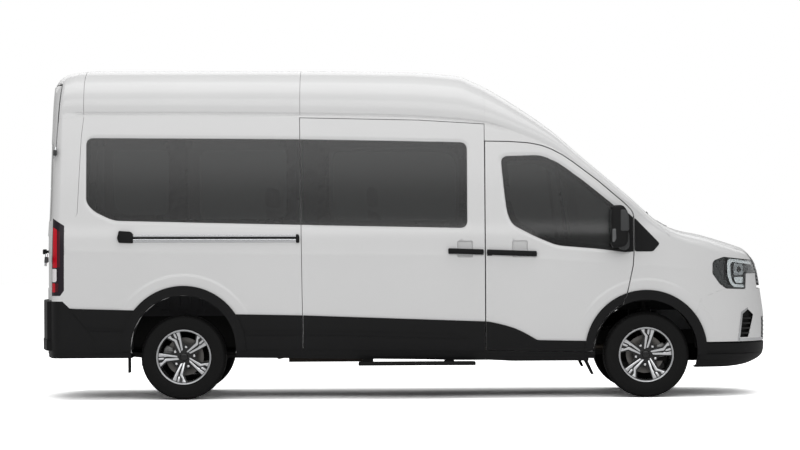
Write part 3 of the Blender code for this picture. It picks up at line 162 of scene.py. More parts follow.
# Painted body: pressed steel panels, primed and sprayed gloss white. One smooth outer form is raised from
# the body sections, the pressed lines are set into it, and every panel is cut from it on its shut lines.
WHEELBASE = 3.750
FRONT_AXLE_X = 1.9675
REAR_AXLE_X = FRONT_AXLE_X - WHEELBASE
TYRE_RADIUS = 0.346
WHEEL_Y = 0.860
SHEET = 0.042
SHUT_GAP = 0.006
NOSE_START_X = 1.90
NOSE_POWER = 3.2
FRONT_ARCH = (FRONT_AXLE_X, 0.376)
REAR_ARCH = (REAR_AXLE_X, 0.421)
FRONT_ARCH_RADIUS = 0.420
REAR_ARCH_RADIUS = 0.429
SIDE_TABLE = (
    # height, half-width
    (0.24, 0.935), (0.33, 0.975), (0.45, 1.000), (0.80, 1.018), (1.05, 1.022), (1.30, 1.016), (1.42, 1.000),
    (1.80, 0.962), (2.10, 0.927), (2.33, 0.896), (2.60, 0.860),
)
NOSE_TABLE = (
    # height, x
    (0.24, 2.860), (0.30, 2.950), (0.37, 2.985), (0.58, 2.990), (0.67, 2.984), (0.80, 2.965), (0.98, 2.940),
    (1.06, 2.935), (2.70, 2.935),
)
REAR_LEAN_TABLE = (
    # height, shift in x
    (0.24, 0.004), (1.25, 0.000), (1.54, 0.016), (2.19, 0.042), (2.60, 0.075), (2.66, 0.124), (2.70, 0.290),
)
REAR_X = -2.957
REAR_BLEND = 0.60
REAR_CORNER = 0.070
REAR_BOW = 0.115
SECTIONS = (
    # x, height at the centreline, shoulder height, crown power, underside
    (-2.957, 2.560, 2.280, 3.0, 0.34), (-2.890, 2.665, 2.325, 3.0, 0.34), (-2.830, 2.685, 2.330, 3.0, 0.34),
    (-2.700, 2.697, 2.330, 3.0, 0.34), (-1.600, 2.695, 2.325, 3.0, 0.34), (-0.010, 2.676, 2.295, 3.0, 0.32),
    (0.470, 2.638, 2.262, 3.0, 0.31), (0.572, 2.596, 2.250, 3.0, 0.31), (0.691, 2.540, 2.232, 3.0, 0.31),
    (0.900, 2.412, 2.165, 3.2, 0.30), (1.209, 2.191, 2.035, 3.8, 0.30), (1.422, 2.002, 1.890, 4.0, 0.30),
    (1.853, 1.633, 1.540, 4.0, 0.28), (1.969, 1.525, 1.435, 4.0, 0.27), (2.045, 1.459, 1.375, 3.8, 0.26),
    (2.156, 1.392, 1.305, 3.4, 0.25), (2.280, 1.350, 1.250, 3.0, 0.24), (2.437, 1.318, 1.195, 3.0, 0.24),
    (2.613, 1.267, 1.125, 3.0, 0.24), (2.740, 1.226, 1.070, 3.0, 0.25), (2.820, 1.192, 1.030, 2.8, 0.265),
    (2.910, 1.092, 0.940, 2.4, 0.300), (2.935, 1.000, 0.860, 2.2, 0.315), (2.958, 0.850, 0.760, 2.0, 0.330),
    (2.978, 0.700, 0.640, 2.0, 0.350),
)
CREASE_LINE = ((-2.957, 1.212), (-0.83, 1.172), (0.66, 1.150), (1.68, 1.088), (2.45, 1.030), (2.978, 1.000))
CENTRE, SHOULDER, POWER, UNDER = range(1, 5)
SECTION_COLUMNS = {k: [(row[0], row[k]) for row in SECTIONS] for k in (CENTRE, SHOULDER, POWER, UNDER)}
SECTION_MEMORY = {}


def table_value(table, at):
    """Smooth value of a two-column table at a place between its rows."""
    if at <= table[0][0]:
        return table[0][1]
    for index in range(len(table) - 1):
        x0, y0 = table[index]
        x1, y1 = table[index + 1]
        if at > x1:
            continue
        slope = (y1 - y0) / (x1 - x0)
        before = table[index - 1] if index else None
        after = table[index + 2] if index + 2 < len(table) else None
        slope0 = (y1 - before[1]) / (x1 - before[0]) if before else slope
        slope1 = (after[1] - y0) / (after[0] - x0) if after else slope
        limit = 2.0 * abs(slope)
        slope0 = math.copysign(min(abs(slope0), limit), slope) if slope0 * slope > 0 else 0.0
        slope1 = math.copysign(min(abs(slope1), limit), slope) if slope1 * slope > 0 else 0.0
        t = (at - x0) / (x1 - x0)
        span = x1 - x0
        return (
            y0 * (1 + 2 * t) * (1 - t) ** 2
            + y1 * t * t * (3 - 2 * t)
            + span * slope0 * t * (1 - t) ** 2
            - span * slope1 * t * t * (1 - t)
        )
    return table[-1][1]


def section_at(x):
    """Centre height, shoulder height, crown power, underside and crease height at a place along the body."""
    if x not in SECTION_MEMORY:
        found = [table_value(SECTION_COLUMNS[k], x) for k in (CENTRE, SHOULDER, POWER, UNDER)]
        SECTION_MEMORY[x] = (*found, table_value(CREASE_LINE, x))
    return SECTION_MEMORY[x]


def side_y(x, z):
    """Half-width of the outer skin of the body side."""
    half = table_value(SIDE_TABLE, z)
    if x <= NOSE_START_X:
        return half
    reach = (x - NOSE_START_X) / (table_value(NOSE_TABLE, z) - NOSE_START_X)
    return half * max(0.0, 1.0 - min(reach, 1.0) ** NOSE_POWER) ** (1.0 / NOSE_POWER)


def rear_shift(x, z):
    """How far a point near the back moves forward, because the rear face leans."""
    share = min(max((REAR_X + REAR_BLEND - x) / REAR_BLEND, 0.0), 1.0)
    return share * table_value(REAR_LEAN_TABLE, z)


def rear_bow(x, y):
    """How far the rear face and its corners curve forward away from the centreline."""
    return REAR_BOW * abs(y) ** 1.6 * ease((REAR_X + 0.33 - x) / 0.33)


def edge_distance(outline, x, z):
    """Distance from a point to the nearest edge of a closed outline."""
    best = 9.0
    for (ax, az), (bx, bz) in zip(outline, outline[1:] + outline[:1]):
        ex, ez = bx - ax, bz - az
        t = min(max(((x - ax) * ex + (z - az) * ez) / (ex * ex + ez * ez), 0.0), 1.0)
        best = min(best, math.hypot(x - ax - t * ex, z - az - t * ez))
    return best


def ease(t):
    """A soft step from 0 to 1."""
    t = min(max(t, 0.0), 1.0)
    return t * t * (3 - 2 * t)


def rounded(points, radius, steps=6):
    """An outline with each corner replaced by a short curve."""
    found = []
    count = len(points)
    for index in range(count):
        here = Vector(points[index])
        before = Vector(points[index - 1]) - here
        after = Vector(points[(index + 1) % count]) - here
        reach = min(radius, 0.45 * before.length, 0.45 * after.length)
        first = here + before.normalized() * reach
        last = here + after.normalized() * reach
        for step in range(steps + 1):
            t = step / steps
            point = first * (1 - t) ** 2 + here * 2 * t * (1 - t) + last * t * t
            found.append((point.x, point.y))
    return found


def arc_points(centre, radius, start, end, steps):
    """Points along an arc, angles in degrees."""
    turns = [math.radians(start + (end - start) * step / steps) for step in range(steps + 1)]
    return [(centre[0] + radius * math.cos(a), centre[1] + radius * math.sin(a)) for a in turns]


def grown(points, distance):
    """An outline moved outwards by a distance."""
    area = sum(a[0] * b[1] - b[0] * a[1] for a, b in zip(points, points[1:] + points[:1]))
    turn = 1.0 if area > 0 else -1.0
    found = []
    count = len(points)
    for index in range(count):
        here = Vector(points[index])
        along0 = (here - Vector(points[index - 1])).normalized()
        along1 = (Vector(points[(index + 1) % count]) - here).normalized()
        out = (Vector((along0.y, -along0.x)) + Vector((along1.y, -along1.x))) * turn
        out = out / max(out.length_squared, 0.4) * 2.0
        found.append((here.x + out.x * distance, here.y + out.y * distance))
    return found


# Shut lines and glass lines in side view, x forward and z up
FRONT_DOOR_LINE = [
    (0.671, 0.392),
    (1.480, 0.372),
    *arc_points(FRONT_ARCH, FRONT_ARCH_RADIUS + 0.010, 179, 116, 16),
    (1.814, 0.860), (1.842, 0.991), (1.859, 1.073), (1.867, 1.190),
    *rounded([(1.867, 1.300), (1.867, 1.500), (1.788, 1.578)], 0.060, 6)[7:14],
    (1.788, 1.578), (1.582, 1.755), (1.375, 1.912), (1.298, 1.965), (1.221, 2.006), (1.175, 2.026),
    (1.128, 2.043), (1.071, 2.056), (1.014, 2.066), (0.859, 2.077), (0.671, 2.081),
]
SLIDING_DOOR_LINE = [(-0.811, 0.408), (0.662, 0.392), (0.662, 2.222), (0.133, 2.256), (-0.832, 2.280)]
FRONT_WINDOW_LINE = rounded(
    [
        (0.796, 1.960), (1.127, 1.968), (1.272, 1.900), (1.478, 1.748), (1.684, 1.580), (1.845, 1.452),
        (1.845, 1.172), (1.579, 1.207), (1.247, 1.235), (1.062, 1.313), (0.886, 1.407), (0.846, 1.500),
        (0.825, 1.656),
    ],
    0.060,
)
FRONT_WINDOW_OPENING = rounded(
    [
        (0.845, 1.922), (1.150, 1.930), (1.300, 1.842), (1.390, 1.775), (1.720, 1.500), (1.690, 1.225),
        (1.275, 1.272), (1.080, 1.350), (0.930, 1.432), (0.888, 1.530), (0.868, 1.680),
    ],
    0.045,
)
REAR_PANE_LINE = rounded(
    [
        (-0.8375, 2.106),
        (-2.565, 2.126),
        (-2.565, 1.600),
        (-2.500, 1.530),
        (-2.345, 1.455),
        (-0.8375, 1.414),
    ],
    0.060,
)
REAR_PANE_LINE = [(-0.8355, 2.106)] + REAR_PANE_LINE[7:-7] + [(-0.8278, 1.414)]
REAR_PANE_OPENINGS = (
    rounded([(-2.482, 2.063), (-2.482, 1.560), (-2.330, 1.501), (-1.898, 1.501), (-1.898, 2.063)], 0.07),
    rounded([(-1.739, 2.055), (-1.739, 1.465), (-0.941, 1.465), (-0.941, 2.055)], 0.07),
)
SLIDING_PANE_LINE = rounded([(-0.8105, 1.414), (0.521, 1.381), (0.521, 2.075), (-0.8105, 2.106)], 0.060)
SLIDING_PANE_LINE = [(-0.8217, 1.414)] + SLIDING_PANE_LINE[7:-7] + [(-0.8294, 2.106)]
SLIDING_PANE_OPENING = rounded(
    [(-0.597, 2.043), (-0.597, 1.449), (0.458, 1.440), (0.458, 1.960), (0.380, 2.030)], 0.07
)
WINDOW_SURROUNDS = [
    (
        line,
        (
            min(p[0] for p in line),
            max(p[0] for p in line),
            min(p[1] for p in line),
            max(p[1] for p in line),
        ),
    )
    for line in (REAR_PANE_LINE, SLIDING_PANE_LINE, FRONT_WINDOW_LINE)
]
ARCH_RINGS = ((*REAR_ARCH, 0.592), (*FRONT_ARCH, 0.584))
CREASE_HEIGHT = 0.006
CREASE_REACH = 0.060
BEAD_DEPTH = 0.009


def glass_distance(x, z):
    """Distance to the nearest glass edge, or a metre where none is near."""
    near = 1.0
    for line, (x0, x1, z0, z1) in WINDOW_SURROUNDS:
        if x0 - 0.05 < x < x1 + 0.05 and z0 - 0.05 < z < z1 + 0.05:
            if not (x0 + 0.3 < x < x1 - 0.3 and z0 + 0.25 < z < z1 - 0.25):
                near = min(near, edge_distance(line, x, z))
    return near


def pressed(x, z, shoulder):
    """How far the pressed lines lift the skin out at a place on the side."""
    out = 0.0
    fade = ease((2.55 - x) / 0.5) * ease((x + 2.9) / 0.2)
    out += CREASE_HEIGHT * fade * math.exp(-abs(z - section_at(x)[4]) / CREASE_REACH)
    above = z - shoulder
    groove = ease((above + 0.026) / 0.018) * ease((0.012 - above) / 0.010)
    out -= BEAD_DEPTH * groove * ease((0.93 - x) / 0.25) * ease((x + 2.72) / 0.08)
    for arch_x, arch_z, radius in ARCH_RINGS:
        away = math.hypot(x - arch_x, z - arch_z)
        if z > arch_z + 0.05 and away < radius + 0.05:
            rise = ease((z - arch_z - 0.10) / 0.30)
            out += 0.007 * rise * ease((radius + 0.007 - away) / 0.016)
    if 1.1 < z < 2.2 and -2.65 < x < 1.9:
        out -= 0.005 * ease(1.0 - glass_distance(x, z) / 0.026)
    return out


SIDE_PLACES = (
    [-2.957, -2.9555, -2.951, -2.944, -2.934, -2.922, -2.907, -2.890, -2.870, -2.850]
    + [-2.820 + 0.030 * k for k in range(184)]
    + [2.712 + 0.0155 * k for k in range(10)]
    + [2.862, 2.872, 2.882, 2.891, 2.900, 2.908, 2.915, 2.921, 2.927, 2.932, 2.937, 2.942, 2.947]
    + [2.951, 2.955, 2.959, 2.963, 2.967, 2.971, 2.975, 2.978]
)
REAR_SHARES = (0.0, 0.2, 0.4, 0.55, 0.7, 0.8, 0.88, 0.94, 0.98)
STATIONS = (
    [(SIDE_PLACES[0], share) for share in REAR_SHARES]
    + [(x, 1.0) for x in SIDE_PLACES]
    + [(SIDE_PLACES[-1], share) for share in (0.8, 0.5, 0.25, 0.0)]
)
LOW_ROWS = [k / 30 for k in range(29)] + [0.955, 0.972, 0.986]
HIGH_ROWS = [1.0, 1.012, 1.025, 1.042] + [1 + k / 38 for k in range(2, 37)]
HIGH_ROWS += [1.9745, 1.979, 1.983, 1.987, 1.991, 1.9955]
CROWN_ROWS = [
    2.0, 2.012, 2.022, 2.032, 2.045, 2.07, 2.1, 2.15, 2.2, 2.26, 2.33, 2.4, 2.48, 2.56, 2.64, 2.71
]
CROWN_ROWS += [2.78, 2.84, 2.89, 2.93] + [3.0 + k / 8 for k in range(9)]
ROWS = [-1.0] + LOW_ROWS + HIGH_ROWS + CROWN_ROWS
TOP_SHARE = 0.93


def between(table, at):
    """A value read part-way between two entries of a list."""
    index = min(int(at), len(table) - 2)
    return table[index] + (table[index + 1] - table[index]) * (at - index)


def skin_point(x, share, row, inset, lines):
    """A point of the skin: a place along the body, a share of the half-width, a row up and over."""
    centre, shoulder, power, under, crease = section_at(x)
    shoulder -= inset
    low = under + (inset if inset <= 0.02 else -0.05)
    crease = min(crease, shoulder - 0.3 * (shoulder - low))
    corner = 0.0
    if x < REAR_X + REAR_CORNER:
        ahead = min(REAR_CORNER - (x - REAR_X), REAR_CORNER)
        corner = REAR_CORNER - math.sqrt(REAR_CORNER**2 - ahead**2)
    if row <= 2.0:
        z = low + (crease - low) * max(row, 0.0) if row <= 1.0 else crease + (
            shoulder - crease
        ) * (row - 1.0)
        half = max(side_y(x, z) - corner - inset, 0.002)
        half += pressed(x, z, shoulder) if lines else 0.0
        half *= 1.0 + min(row, 0.0)
    else:
        half = max(side_y(x, shoulder) - corner - inset, 0.002)
        rise = centre - inset - shoulder
        if row < 3.0:
            lift = min(row - 2.0, TOP_SHARE)
            across = (1.0 - lift**power) ** (1.0 / power)
        else:
            across = (1.0 - TOP_SHARE**power) ** (1.0 / power) * (4.0 - row)
            lift = (1.0 - across**power) ** (1.0 / power)
        z = shoulder + rise * lift
        half = half * across + (pressed(x, z, shoulder) if lines and row < 2.1 else 0.0)
    return Vector((x + rear_shift(x, z) + rear_bow(x, half * share), -half * share, z))


HELPERS = []
bench = bpy.context.scene.collection
shelf = bpy.data.collections.new("shelf")
bench.children.link(shelf)
bpy.context.view_layer.layer_collection.children["shelf"].exclude = True


def take(*pieces):
    """Select pieces alone, brought from the shelf where they lie on it; the first is the active one."""
    for piece in pieces:
        if piece.name in shelf.objects:
            shelf.objects.unlink(piece)
            bench.objects.link(piece)
    bpy.ops.object.select_all(action="DESELECT")
    for piece in pieces:
        piece.select_set(True)
    bpy.context.view_layer.objects.active = pieces[0]


def put_away(piece):
    """Lay a piece on the shelf, outside the view layer, so that each step has less to work through."""
    for home in list(piece.users_collection):
        home.objects.unlink(piece)
    shelf.objects.link(piece)
    return piece


def body_form(name, inset, lines, step=1):
    """A closed form of the whole body, taken in by an inset, with or without its pressed lines."""
    stations = STATIONS[:-1:step] + STATIONS[-1:]
    rows = ROWS[:-1:step] + ROWS[-1:]
    places = [s[0] for s in stations]
    shares = [s[1] for s in stations]
    bpy.ops.object.select_all(action="DESELECT")
    bpy.ops.mesh.primitive_grid_add(x_subdivisions=len(stations) - 1, y_subdivisions=len(rows) - 1, size=2)
    form = bpy.context.active_object
    form.name = name
    across, up = len(stations) - 1, len(rows) - 1
    for vertex in form.data.vertices:
        vertex.co = ((vertex.co.x + 1) / 2 * across, (vertex.co.y + 1) / 2 * up, 0.0)
    if lines:
        fine = []
        for face in form.data.polygons:
            x, share = between(places, face.center.x), between(shares, face.center.x)
            if share < 1.0 or x > 2.7:
                fine.append(False)
                continue
            point = skin_point(x, 1.0, between(rows, face.center.y), 0.0, False)
            near_ring = any(
                abs(
                    math.hypot(x - a, point.z - c) - r
                ) < 0.045 and point.z > c + 0.05 for a, c, r in ARCH_RINGS
            )
            near_glass = -2.65 < x < 1.92 and 1.1 < point.z < 2.2 and between(rows, face.center.y) < 2.0
            fine.append(near_ring or (near_glass and glass_distance(x, point.z) < 0.045))
        bpy.ops.object.mode_set(mode="EDIT")
        bpy.ops.mesh.select_mode(type="FACE")
        bpy.ops.mesh.select_all(action="DESELECT")
        bpy.ops.object.mode_set(mode="OBJECT")
        form.data.polygons.foreach_set("select", fine)
        bpy.ops.object.mode_set(mode="EDIT")
        bpy.ops.mesh.subdivide(number_cuts=2)
        bpy.ops.object.mode_set(mode="OBJECT")
    for vertex in form.data.vertices:
        x, share = between(places, vertex.co.x), between(shares, vertex.co.x)
        if inset:
            x = REAR_X + inset + (x - REAR_X) * (
                SIDE_PLACES[-1] - REAR_X - 2 * inset
            ) / (SIDE_PLACES[-1] - REAR_X)
        row = between(rows, vertex.co.y)
        vertex.co = skin_point(x, share, row, inset, lines)
    mirror = form.modifiers.new("mirror", "MIRROR")
    mirror.use_axis = (False, True, False)
    mirror.merge_threshold = 0.0001
    bpy.ops.object.modifier_apply(modifier=mirror.name)
    bpy.ops.object.mode_set(mode="EDIT")
    bpy.ops.mesh.select_all(action="SELECT")
    bpy.ops.mesh.remove_doubles(threshold=0.00005)
    bpy.ops.mesh.dissolve_degenerate(threshold=0.00005)
    bpy.ops.mesh.select_all(action="SELECT")
    bpy.ops.mesh.normals_make_consistent(inside=False)
    bpy.ops.object.mode_set(mode="OBJECT")
    return put_away(form)


def slab(outline, plane, low, high):
    """A closed block with a flat outline, standing across the plane that it is drawn in: XZ, YZ or XY."""
    placed = {
        "XZ": lambda a, b: (a, low, b), "YZ": lambda a, b: (low, a, b), "XY": lambda a, b: (a, b, low)
    }[plane]
    mesh = bpy.data.meshes.new("slab")
    mesh.from_pydata([placed(a, b) for a, b in outline], [], [range(len(outline))])
    block = bpy.data.objects.new("slab", mesh)
    shelf.objects.link(block)
    take(block)
    bpy.ops.object.mode_set(mode="EDIT")
    bpy.ops.mesh.select_all(action="SELECT")
    axis = {"XZ": 1, "YZ": 0, "XY": 2}[plane]
    move = [0.0, 0.0, 0.0]
    move[axis] = high - low
    bpy.ops.mesh.extrude_region_move(TRANSFORM_OT_translate={"value": move})
    bpy.ops.mesh.select_all(action="SELECT")
    bpy.ops.mesh.normals_make_consistent(inside=False)
    bpy.ops.object.mode_set(mode="OBJECT")
    HELPERS.append(block)
    return put_away(block)


def box(low, high):
    """A plain block between two corners, for cutting."""
    return slab(
        [(low[0], low[2]), (high[0], low[2]), (high[0], high[2]), (low[0], high[2])], "XZ", low[1], high[1]
    )


def side_slab(outline, side, inner=0.30, outer=1.30):
    """A block through one side of the body, from a side-view outline."""
    low, high = (inner, outer) if side == LEFT else (-outer, -inner)
    return slab(outline, "XZ", low, high)


def twin(source, name):
    """A copy of an object with a mesh of its own."""
    made = bpy.data.objects.new(name, source.data.copy())
    shelf.objects.link(made)
    return made


def apply_all(piece):
    """Apply every modifier of a piece, in order."""
    take(piece)
    for step in list(piece.modifiers):
        bpy.ops.object.modifier_apply(modifier=step.name)
    return put_away(piece)


def carve(piece, other, operation="DIFFERENCE"):
    """Cut, join or intersect a piece with another solid."""
    step = piece.modifiers.new("carve", "BOOLEAN")
    step.operation = operation
    step.solver = "MANIFOLD"
    step.object = other
    apply_all(piece)
    return piece


def smooth(piece, angle=32):
    """Shade a piece smooth, but for its corners."""
    take(piece)
    bpy.ops.object.shade_smooth_by_angle(angle=math.radians(angle))
    put_away(piece)


def finish_piece(piece, material, body):
    """Give a piece its material, its shading and the body that it rides on."""
    piece.data.materials.clear()
    piece.data.materials.append(material)
    smooth(piece)
    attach(piece, body)
    return piece


def speckled(name, colour, settings, grain_mm, tone=0.06, bump=0.0, rough=0.08):
    """A finish whose colour, gloss and surface vary with a fine grain of a real size."""
    made = bpy.data.materials.new(name)
    made.use_nodes = True
    tree = made.node_tree
    shader = tree.nodes["Principled BSDF"]
    for key, value in settings.items():
        shader.inputs[key].default_value = value
    place = add_node(tree, "TexCoord")
    grain = add_node(
        tree, "TexNoise", {"Scale": 1000.0 / grain_mm, "Detail": 3.0}, {"Vector": place.outputs["Object"]}
    )
    cloud = add_node(tree, "TexNoise", {"Scale": 1.7, "Detail": 2.0}, {"Vector": place.outputs["Object"]})
    both = add_node(
        tree,
        "Math",
        {"operation": "MULTIPLY_ADD", 1: 0.5},
        {0: grain.outputs["Fac"], 2: cloud.outputs["Fac"]},
    )
    base = linear(colour)
    ramp = add_node(tree, "ValToRGB", {}, {"Fac": both.outputs[0]})
    ramp.color_ramp.elements[0].position = 0.45
    ramp.color_ramp.elements[1].position = 1.0
    ramp.color_ramp.elements[0].color = (*[c * (1 - tone) for c in base[:3]], 1.0)
    ramp.color_ramp.elements[1].color = (*[min(c * (1 + tone), 1.0) for c in base[:3]], 1.0)
    tree.links.new(ramp.outputs["Color"], shader.inputs["Base Color"])
    level = settings.get("Roughness", 0.5)
    gloss = add_node(
        tree,
        "MapRange",
        {"To Min": max(level - rough, 0.0), "To Max": min(level + rough, 1.0)},
        {"Value": grain.outputs["Fac"]},
    )
    tree.links.new(gloss.outputs["Result"], shader.inputs["Roughness"])
    if bump:
        bumps = add_node(
            tree, "Bump", {"Strength": 0.6, "Distance": bump}, {"Height": grain.outputs["Fac"]}
        )
        tree.links.new(bumps.outputs["Normal"], shader.inputs["Normal"])
    return made


RIGHT = -1
LEFT = 1
SIDE_NAMES = ((RIGHT, "right"), (LEFT, "left"))

# Two-coat solid white: a bright base under clear lacquer, with a trace of orange peel every 4 mm
white_paint = speckled(
    "white_two_coat_paint",
    "#DCDCDC",
    {"Roughness": 0.42, "Specular IOR Level": 0.25, "Coat Weight": 0.6, "Coat Roughness": 0.16},
    4.0,
    tone=0.012,
    bump=0.00004,
    rough=0.04,
)
# Polypropylene with a fine leathery grain, as moulded: deep black, satin, greyer where light catches it
black_moulding = speckled(
    "grained_polypropylene",
    "#0E0E0F",
    {"Roughness": 0.60, "Specular IOR Level": 0.22},
    1.6,
    tone=0.16,
    bump=0.00022,
    rough=0.08,
)
# Smooth black ABS: darker and glossier than the grained mouldings
black_abs = speckled(
    "smooth_black_abs",
    "#09090A",
    {"Roughness": 0.30, "Specular IOR Level": 0.35},
    2.5,
    tone=0.10,
    rough=0.05,
)
# Underbody steel with wax and road dust: near black, dull, patchy
underseal = speckled(
    "waxed_underbody_steel",
    "#111110",
    {"Roughness": 0.75, "Specular IOR Level": 0.25},
    9.0,
    tone=0.35,
    bump=0.0006,
    rough=0.15,
)

body_outer = body_form("body_outer", 0.0, True)
body_inner = body_form("body_inner", SHEET, False, 4)
inside_form = body_form("inside_form", SHEET - 0.001, False, 4)
pane_front = body_form("pane_front", 0.0035, False, 2)
pane_back = body_form("pane_back", 0.0075, False, 2)
band_back = body_form("band_back", 0.0100, False, 2)
HELPERS += [body_outer, body_inner, inside_form, pane_front, pane_back, band_back]

ARCH_CUTS = []
for side, tag in SIDE_NAMES:
    for arch, radius in ((FRONT_ARCH, FRONT_ARCH_RADIUS), (REAR_ARCH, REAR_ARCH_RADIUS)):
        ARCH_CUTS.append(side_slab(arc_points(arch, radius, 0, 355, 71), side, 0.50, 1.40))
steel_skin = twin(body_outer, "steel_skin")
HELPERS.append(steel_skin)
carve(steel_skin, body_inner)
for arch_cut in ARCH_CUTS:
    carve(steel_skin, arch_cut)
pane_skin = carve(twin(pane_front, "pane_skin"), pane_back)
band_skin = carve(twin(pane_back, "band_skin"), band_back)
HELPERS += [pane_skin, band_skin]


def cad_inside(name, node, rest=None):
    """The hidden inner structure of a CAD node: what lies behind the outer sheet."""
    made = twin(frame["nodes"][node], name)
    take(made)
    bpy.ops.object.mode_set(mode="EDIT")
    bpy.ops.mesh.select_all(action="SELECT")
    bpy.ops.mesh.remove_doubles(threshold=0.00002)
    bpy.ops.object.mode_set(mode="OBJECT")
    return carve(made, rest or inside_form, "INTERSECT")


def pressing(name, keeps, cuts, source=None):
    """A sheet panel: what lies inside every keep and outside every cut."""
    made = twin(source or steel_skin, name)
    for other in keeps:
        carve(made, other, "INTERSECT")
    for other in cuts:
        carve(made, other)
    return made

# Roof, sides, doors, wings, bonnet and bumper: deep-drawn steel 0.8 mm thick over folded inner frames,
# welded or hung on hinges, with 5 to 8 mm shut gaps. Inner frames come from the CAD solids, behind the sheet.
ROOF_SEAM_X = 0.6665
SEAT = 0.0003
SEAM_WIDE = 0.003
GRILLE_HALF = 0.560
REAR_HINGE_FOOT = (-2.888, 1.045, 1.123)
REAR_HINGE_HEAD = (-2.816, 0.962, 2.020)
REAR_DOOR_LOW = 0.812
REAR_DOOR_HIGH = 2.560
ROOF_LINE = [
    (-3.00, 2.270), (-2.70, 2.290), (-2.60, 2.316), (-0.829, 2.304), (0.133, 2.287), (0.524, 2.260),
    (ROOF_SEAM_X, 2.239),
]
LAMP_LINE = rounded(
    [
        (2.512, 1.084), (2.524, 1.105), (2.603, 1.132), (3.100, 1.075), (3.100, 1.000), (2.795, 1.000),
        (2.788, 0.872), (2.623, 0.879), (2.570, 0.917), (2.511, 1.001),
    ],
    0.012,
    4,
)
TAIL_LAMP_LINE = [(-2.838, 1.477), (-2.743, 1.416), (-2.746, 0.890), (-2.778, 0.848), (-2.850, 0.848)]
BONNET_PLAN = [
    (2.165, 0.000), (2.172, 0.400), (2.188, 0.640), (2.205, 0.770), (2.235, 0.800), (2.270, 0.812),
    (2.420, 0.822), (2.560, 0.800), (2.700, 0.700), (2.800, 0.560), (2.850, 0.400), (2.872, 0.200),
    (2.878, 0.000),
]
WINDSCREEN_PLAN = [
    (1.205, 0.000), (1.212, 0.400), (1.240, 0.690), (1.270, 0.722), (1.600, 0.790), (1.940, 0.850),
    (1.985, 0.845), (2.060, 0.640), (2.105, 0.350), (2.120, 0.000),
]
BONNET_SWEEP = 0.012
REAR_BUMPER_LINE = [
    (-3.10, 0.10), (-2.50, 0.10), (-2.50, 0.500), (-2.700, 0.745), (-2.760, 0.803), (-3.10, 0.803)
]
FRONT_BUMPER_LINE = [
    (3.10, 0.10), (2.20, 0.10), (2.30, 0.500), (2.42, 0.800), (2.60, 0.872), (2.7935, 0.863),
    (2.7985, 0.993), (3.10, 0.993),
]
CAB_LINE = [
    (ROOF_SEAM_X + SEAT, 2.9),
    (ROOF_SEAM_X + SEAT, 0.24),
    (1.500, 0.24), (1.500, 0.40), (0.900, 1.30), (1.820, 1.465), (2.000, 1.480), (2.160, 1.30),
    (2.160, 2.9),
]
WING_LINE = [
    (1.790, 0.240), (1.790, 0.780), (1.815, 0.880), (1.820, 1.4647), (1.9996, 1.4796), (2.1596, 1.2996),
    (2.1605, 1.5000), (3.100, 1.5000), (3.100, 0.240),
]
# Welded seams in side view, each a narrow ditch
REAR_CORNER_SEAM = [
    (-2.588, 2.300), (-2.607, 2.150), (-2.624, 1.829), (-2.640, 1.512), (-2.652, 1.490), (-2.745, 1.430)
]


def mirrored(half):
    """A closed plan outline from its half, which starts and ends on the centreline."""
    return list(half) + [(x, -y) for x, y in reversed(half[1:-1])]


def seam_slab(points, side):
    """A narrow block along a seam, for cutting the ditch."""
    wide = SEAM_WIDE
    far = [(x + wide, z + wide * 0.7) for x, z in reversed(points)]
    return side_slab(points + far, side, 0.5, 1.3)


def rear_axis_x(z):
    """Where the rear door's hinge line stands at a height."""
    share = (z - REAR_HINGE_FOOT[2]) / (REAR_HINGE_HEAD[2] - REAR_HINGE_FOOT[2])
    return REAR_HINGE_FOOT[0] + (REAR_HINGE_HEAD[0] - REAR_HINGE_FOOT[0]) * share


def rear_door_form(side, grow, top_gap):
    """All of the back of the body on one side of the middle, out to the shut line."""
    low, high = REAR_DOOR_LOW - grow, REAR_DOOR_HIGH + top_gap
    inner = 0.004 if grow == 0 else -0.5
    edge = [(-3.10, low), (rear_axis_x(low) - 0.004 + grow, low)]
    edge += [(rear_axis_x(high) - 0.004 + grow, high), (-3.10, high)]
    wrap = slab(edge, "XZ", *((0.66, 1.30) if side == LEFT else (-1.30, -0.66)))
    rows = [low + (high - low) * k / 16 for k in range(17)]
    leaf = [(side * inner, high), (side * inner, low)]
    leaf += [(side * min(0.90 + grow, side_y(-2.90, z) - 0.045 + grow), z) for z in rows]
    return carve(wrap, slab(leaf, "YZ", -3.10, -2.800 + 2.5 * grow), "UNION")


rear_openings = [rear_door_form(side, 0.008, 0.014) for side, tag in SIDE_NAMES]
rear_bumper_region = slab(grown(REAR_BUMPER_LINE, SEAT), "XZ", -1.3, 1.3)
front_bumper_region = slab(grown(FRONT_BUMPER_LINE, SEAT), "XZ", -1.3, 1.3)
bonnet_sweep = [(x + (BONNET_SWEEP if x > 2.45 else 0.0), y) for x, y in BONNET_PLAN]
bonnet_region = slab(grown(mirrored(bonnet_sweep), SHUT_GAP), "XY", 1.02, 1.60)
screen_seat = slab(grown(mirrored(WINDSCREEN_PLAN), SEAT), "XY", 1.30, 2.60)
carve(screen_seat, band_back)
screen_opening = slab(grown(mirrored(WINDSCREEN_PLAN), -0.045), "XY", 1.30, 2.60)
door_openings = {side: side_slab(grown(FRONT_DOOR_LINE, 0.008), side) for side, tag in SIDE_NAMES}
lamp_seats = {side: side_slab(grown(LAMP_LINE, 0.003), side, GRILLE_HALF) for side, tag in SIDE_NAMES}
grille_region = box((2.700, -GRILLE_HALF - SEAT, 0.870), (3.100, GRILLE_HALF + SEAT, 1.300))
sliding_opening = side_slab(grown(SLIDING_DOOR_LINE, 0.005), RIGHT)


def joined(piece, *others):
    """Put other pieces' meshes into a piece, with their materials."""
    take(piece, *others)
    bpy.ops.object.join()
    return put_away(piece)


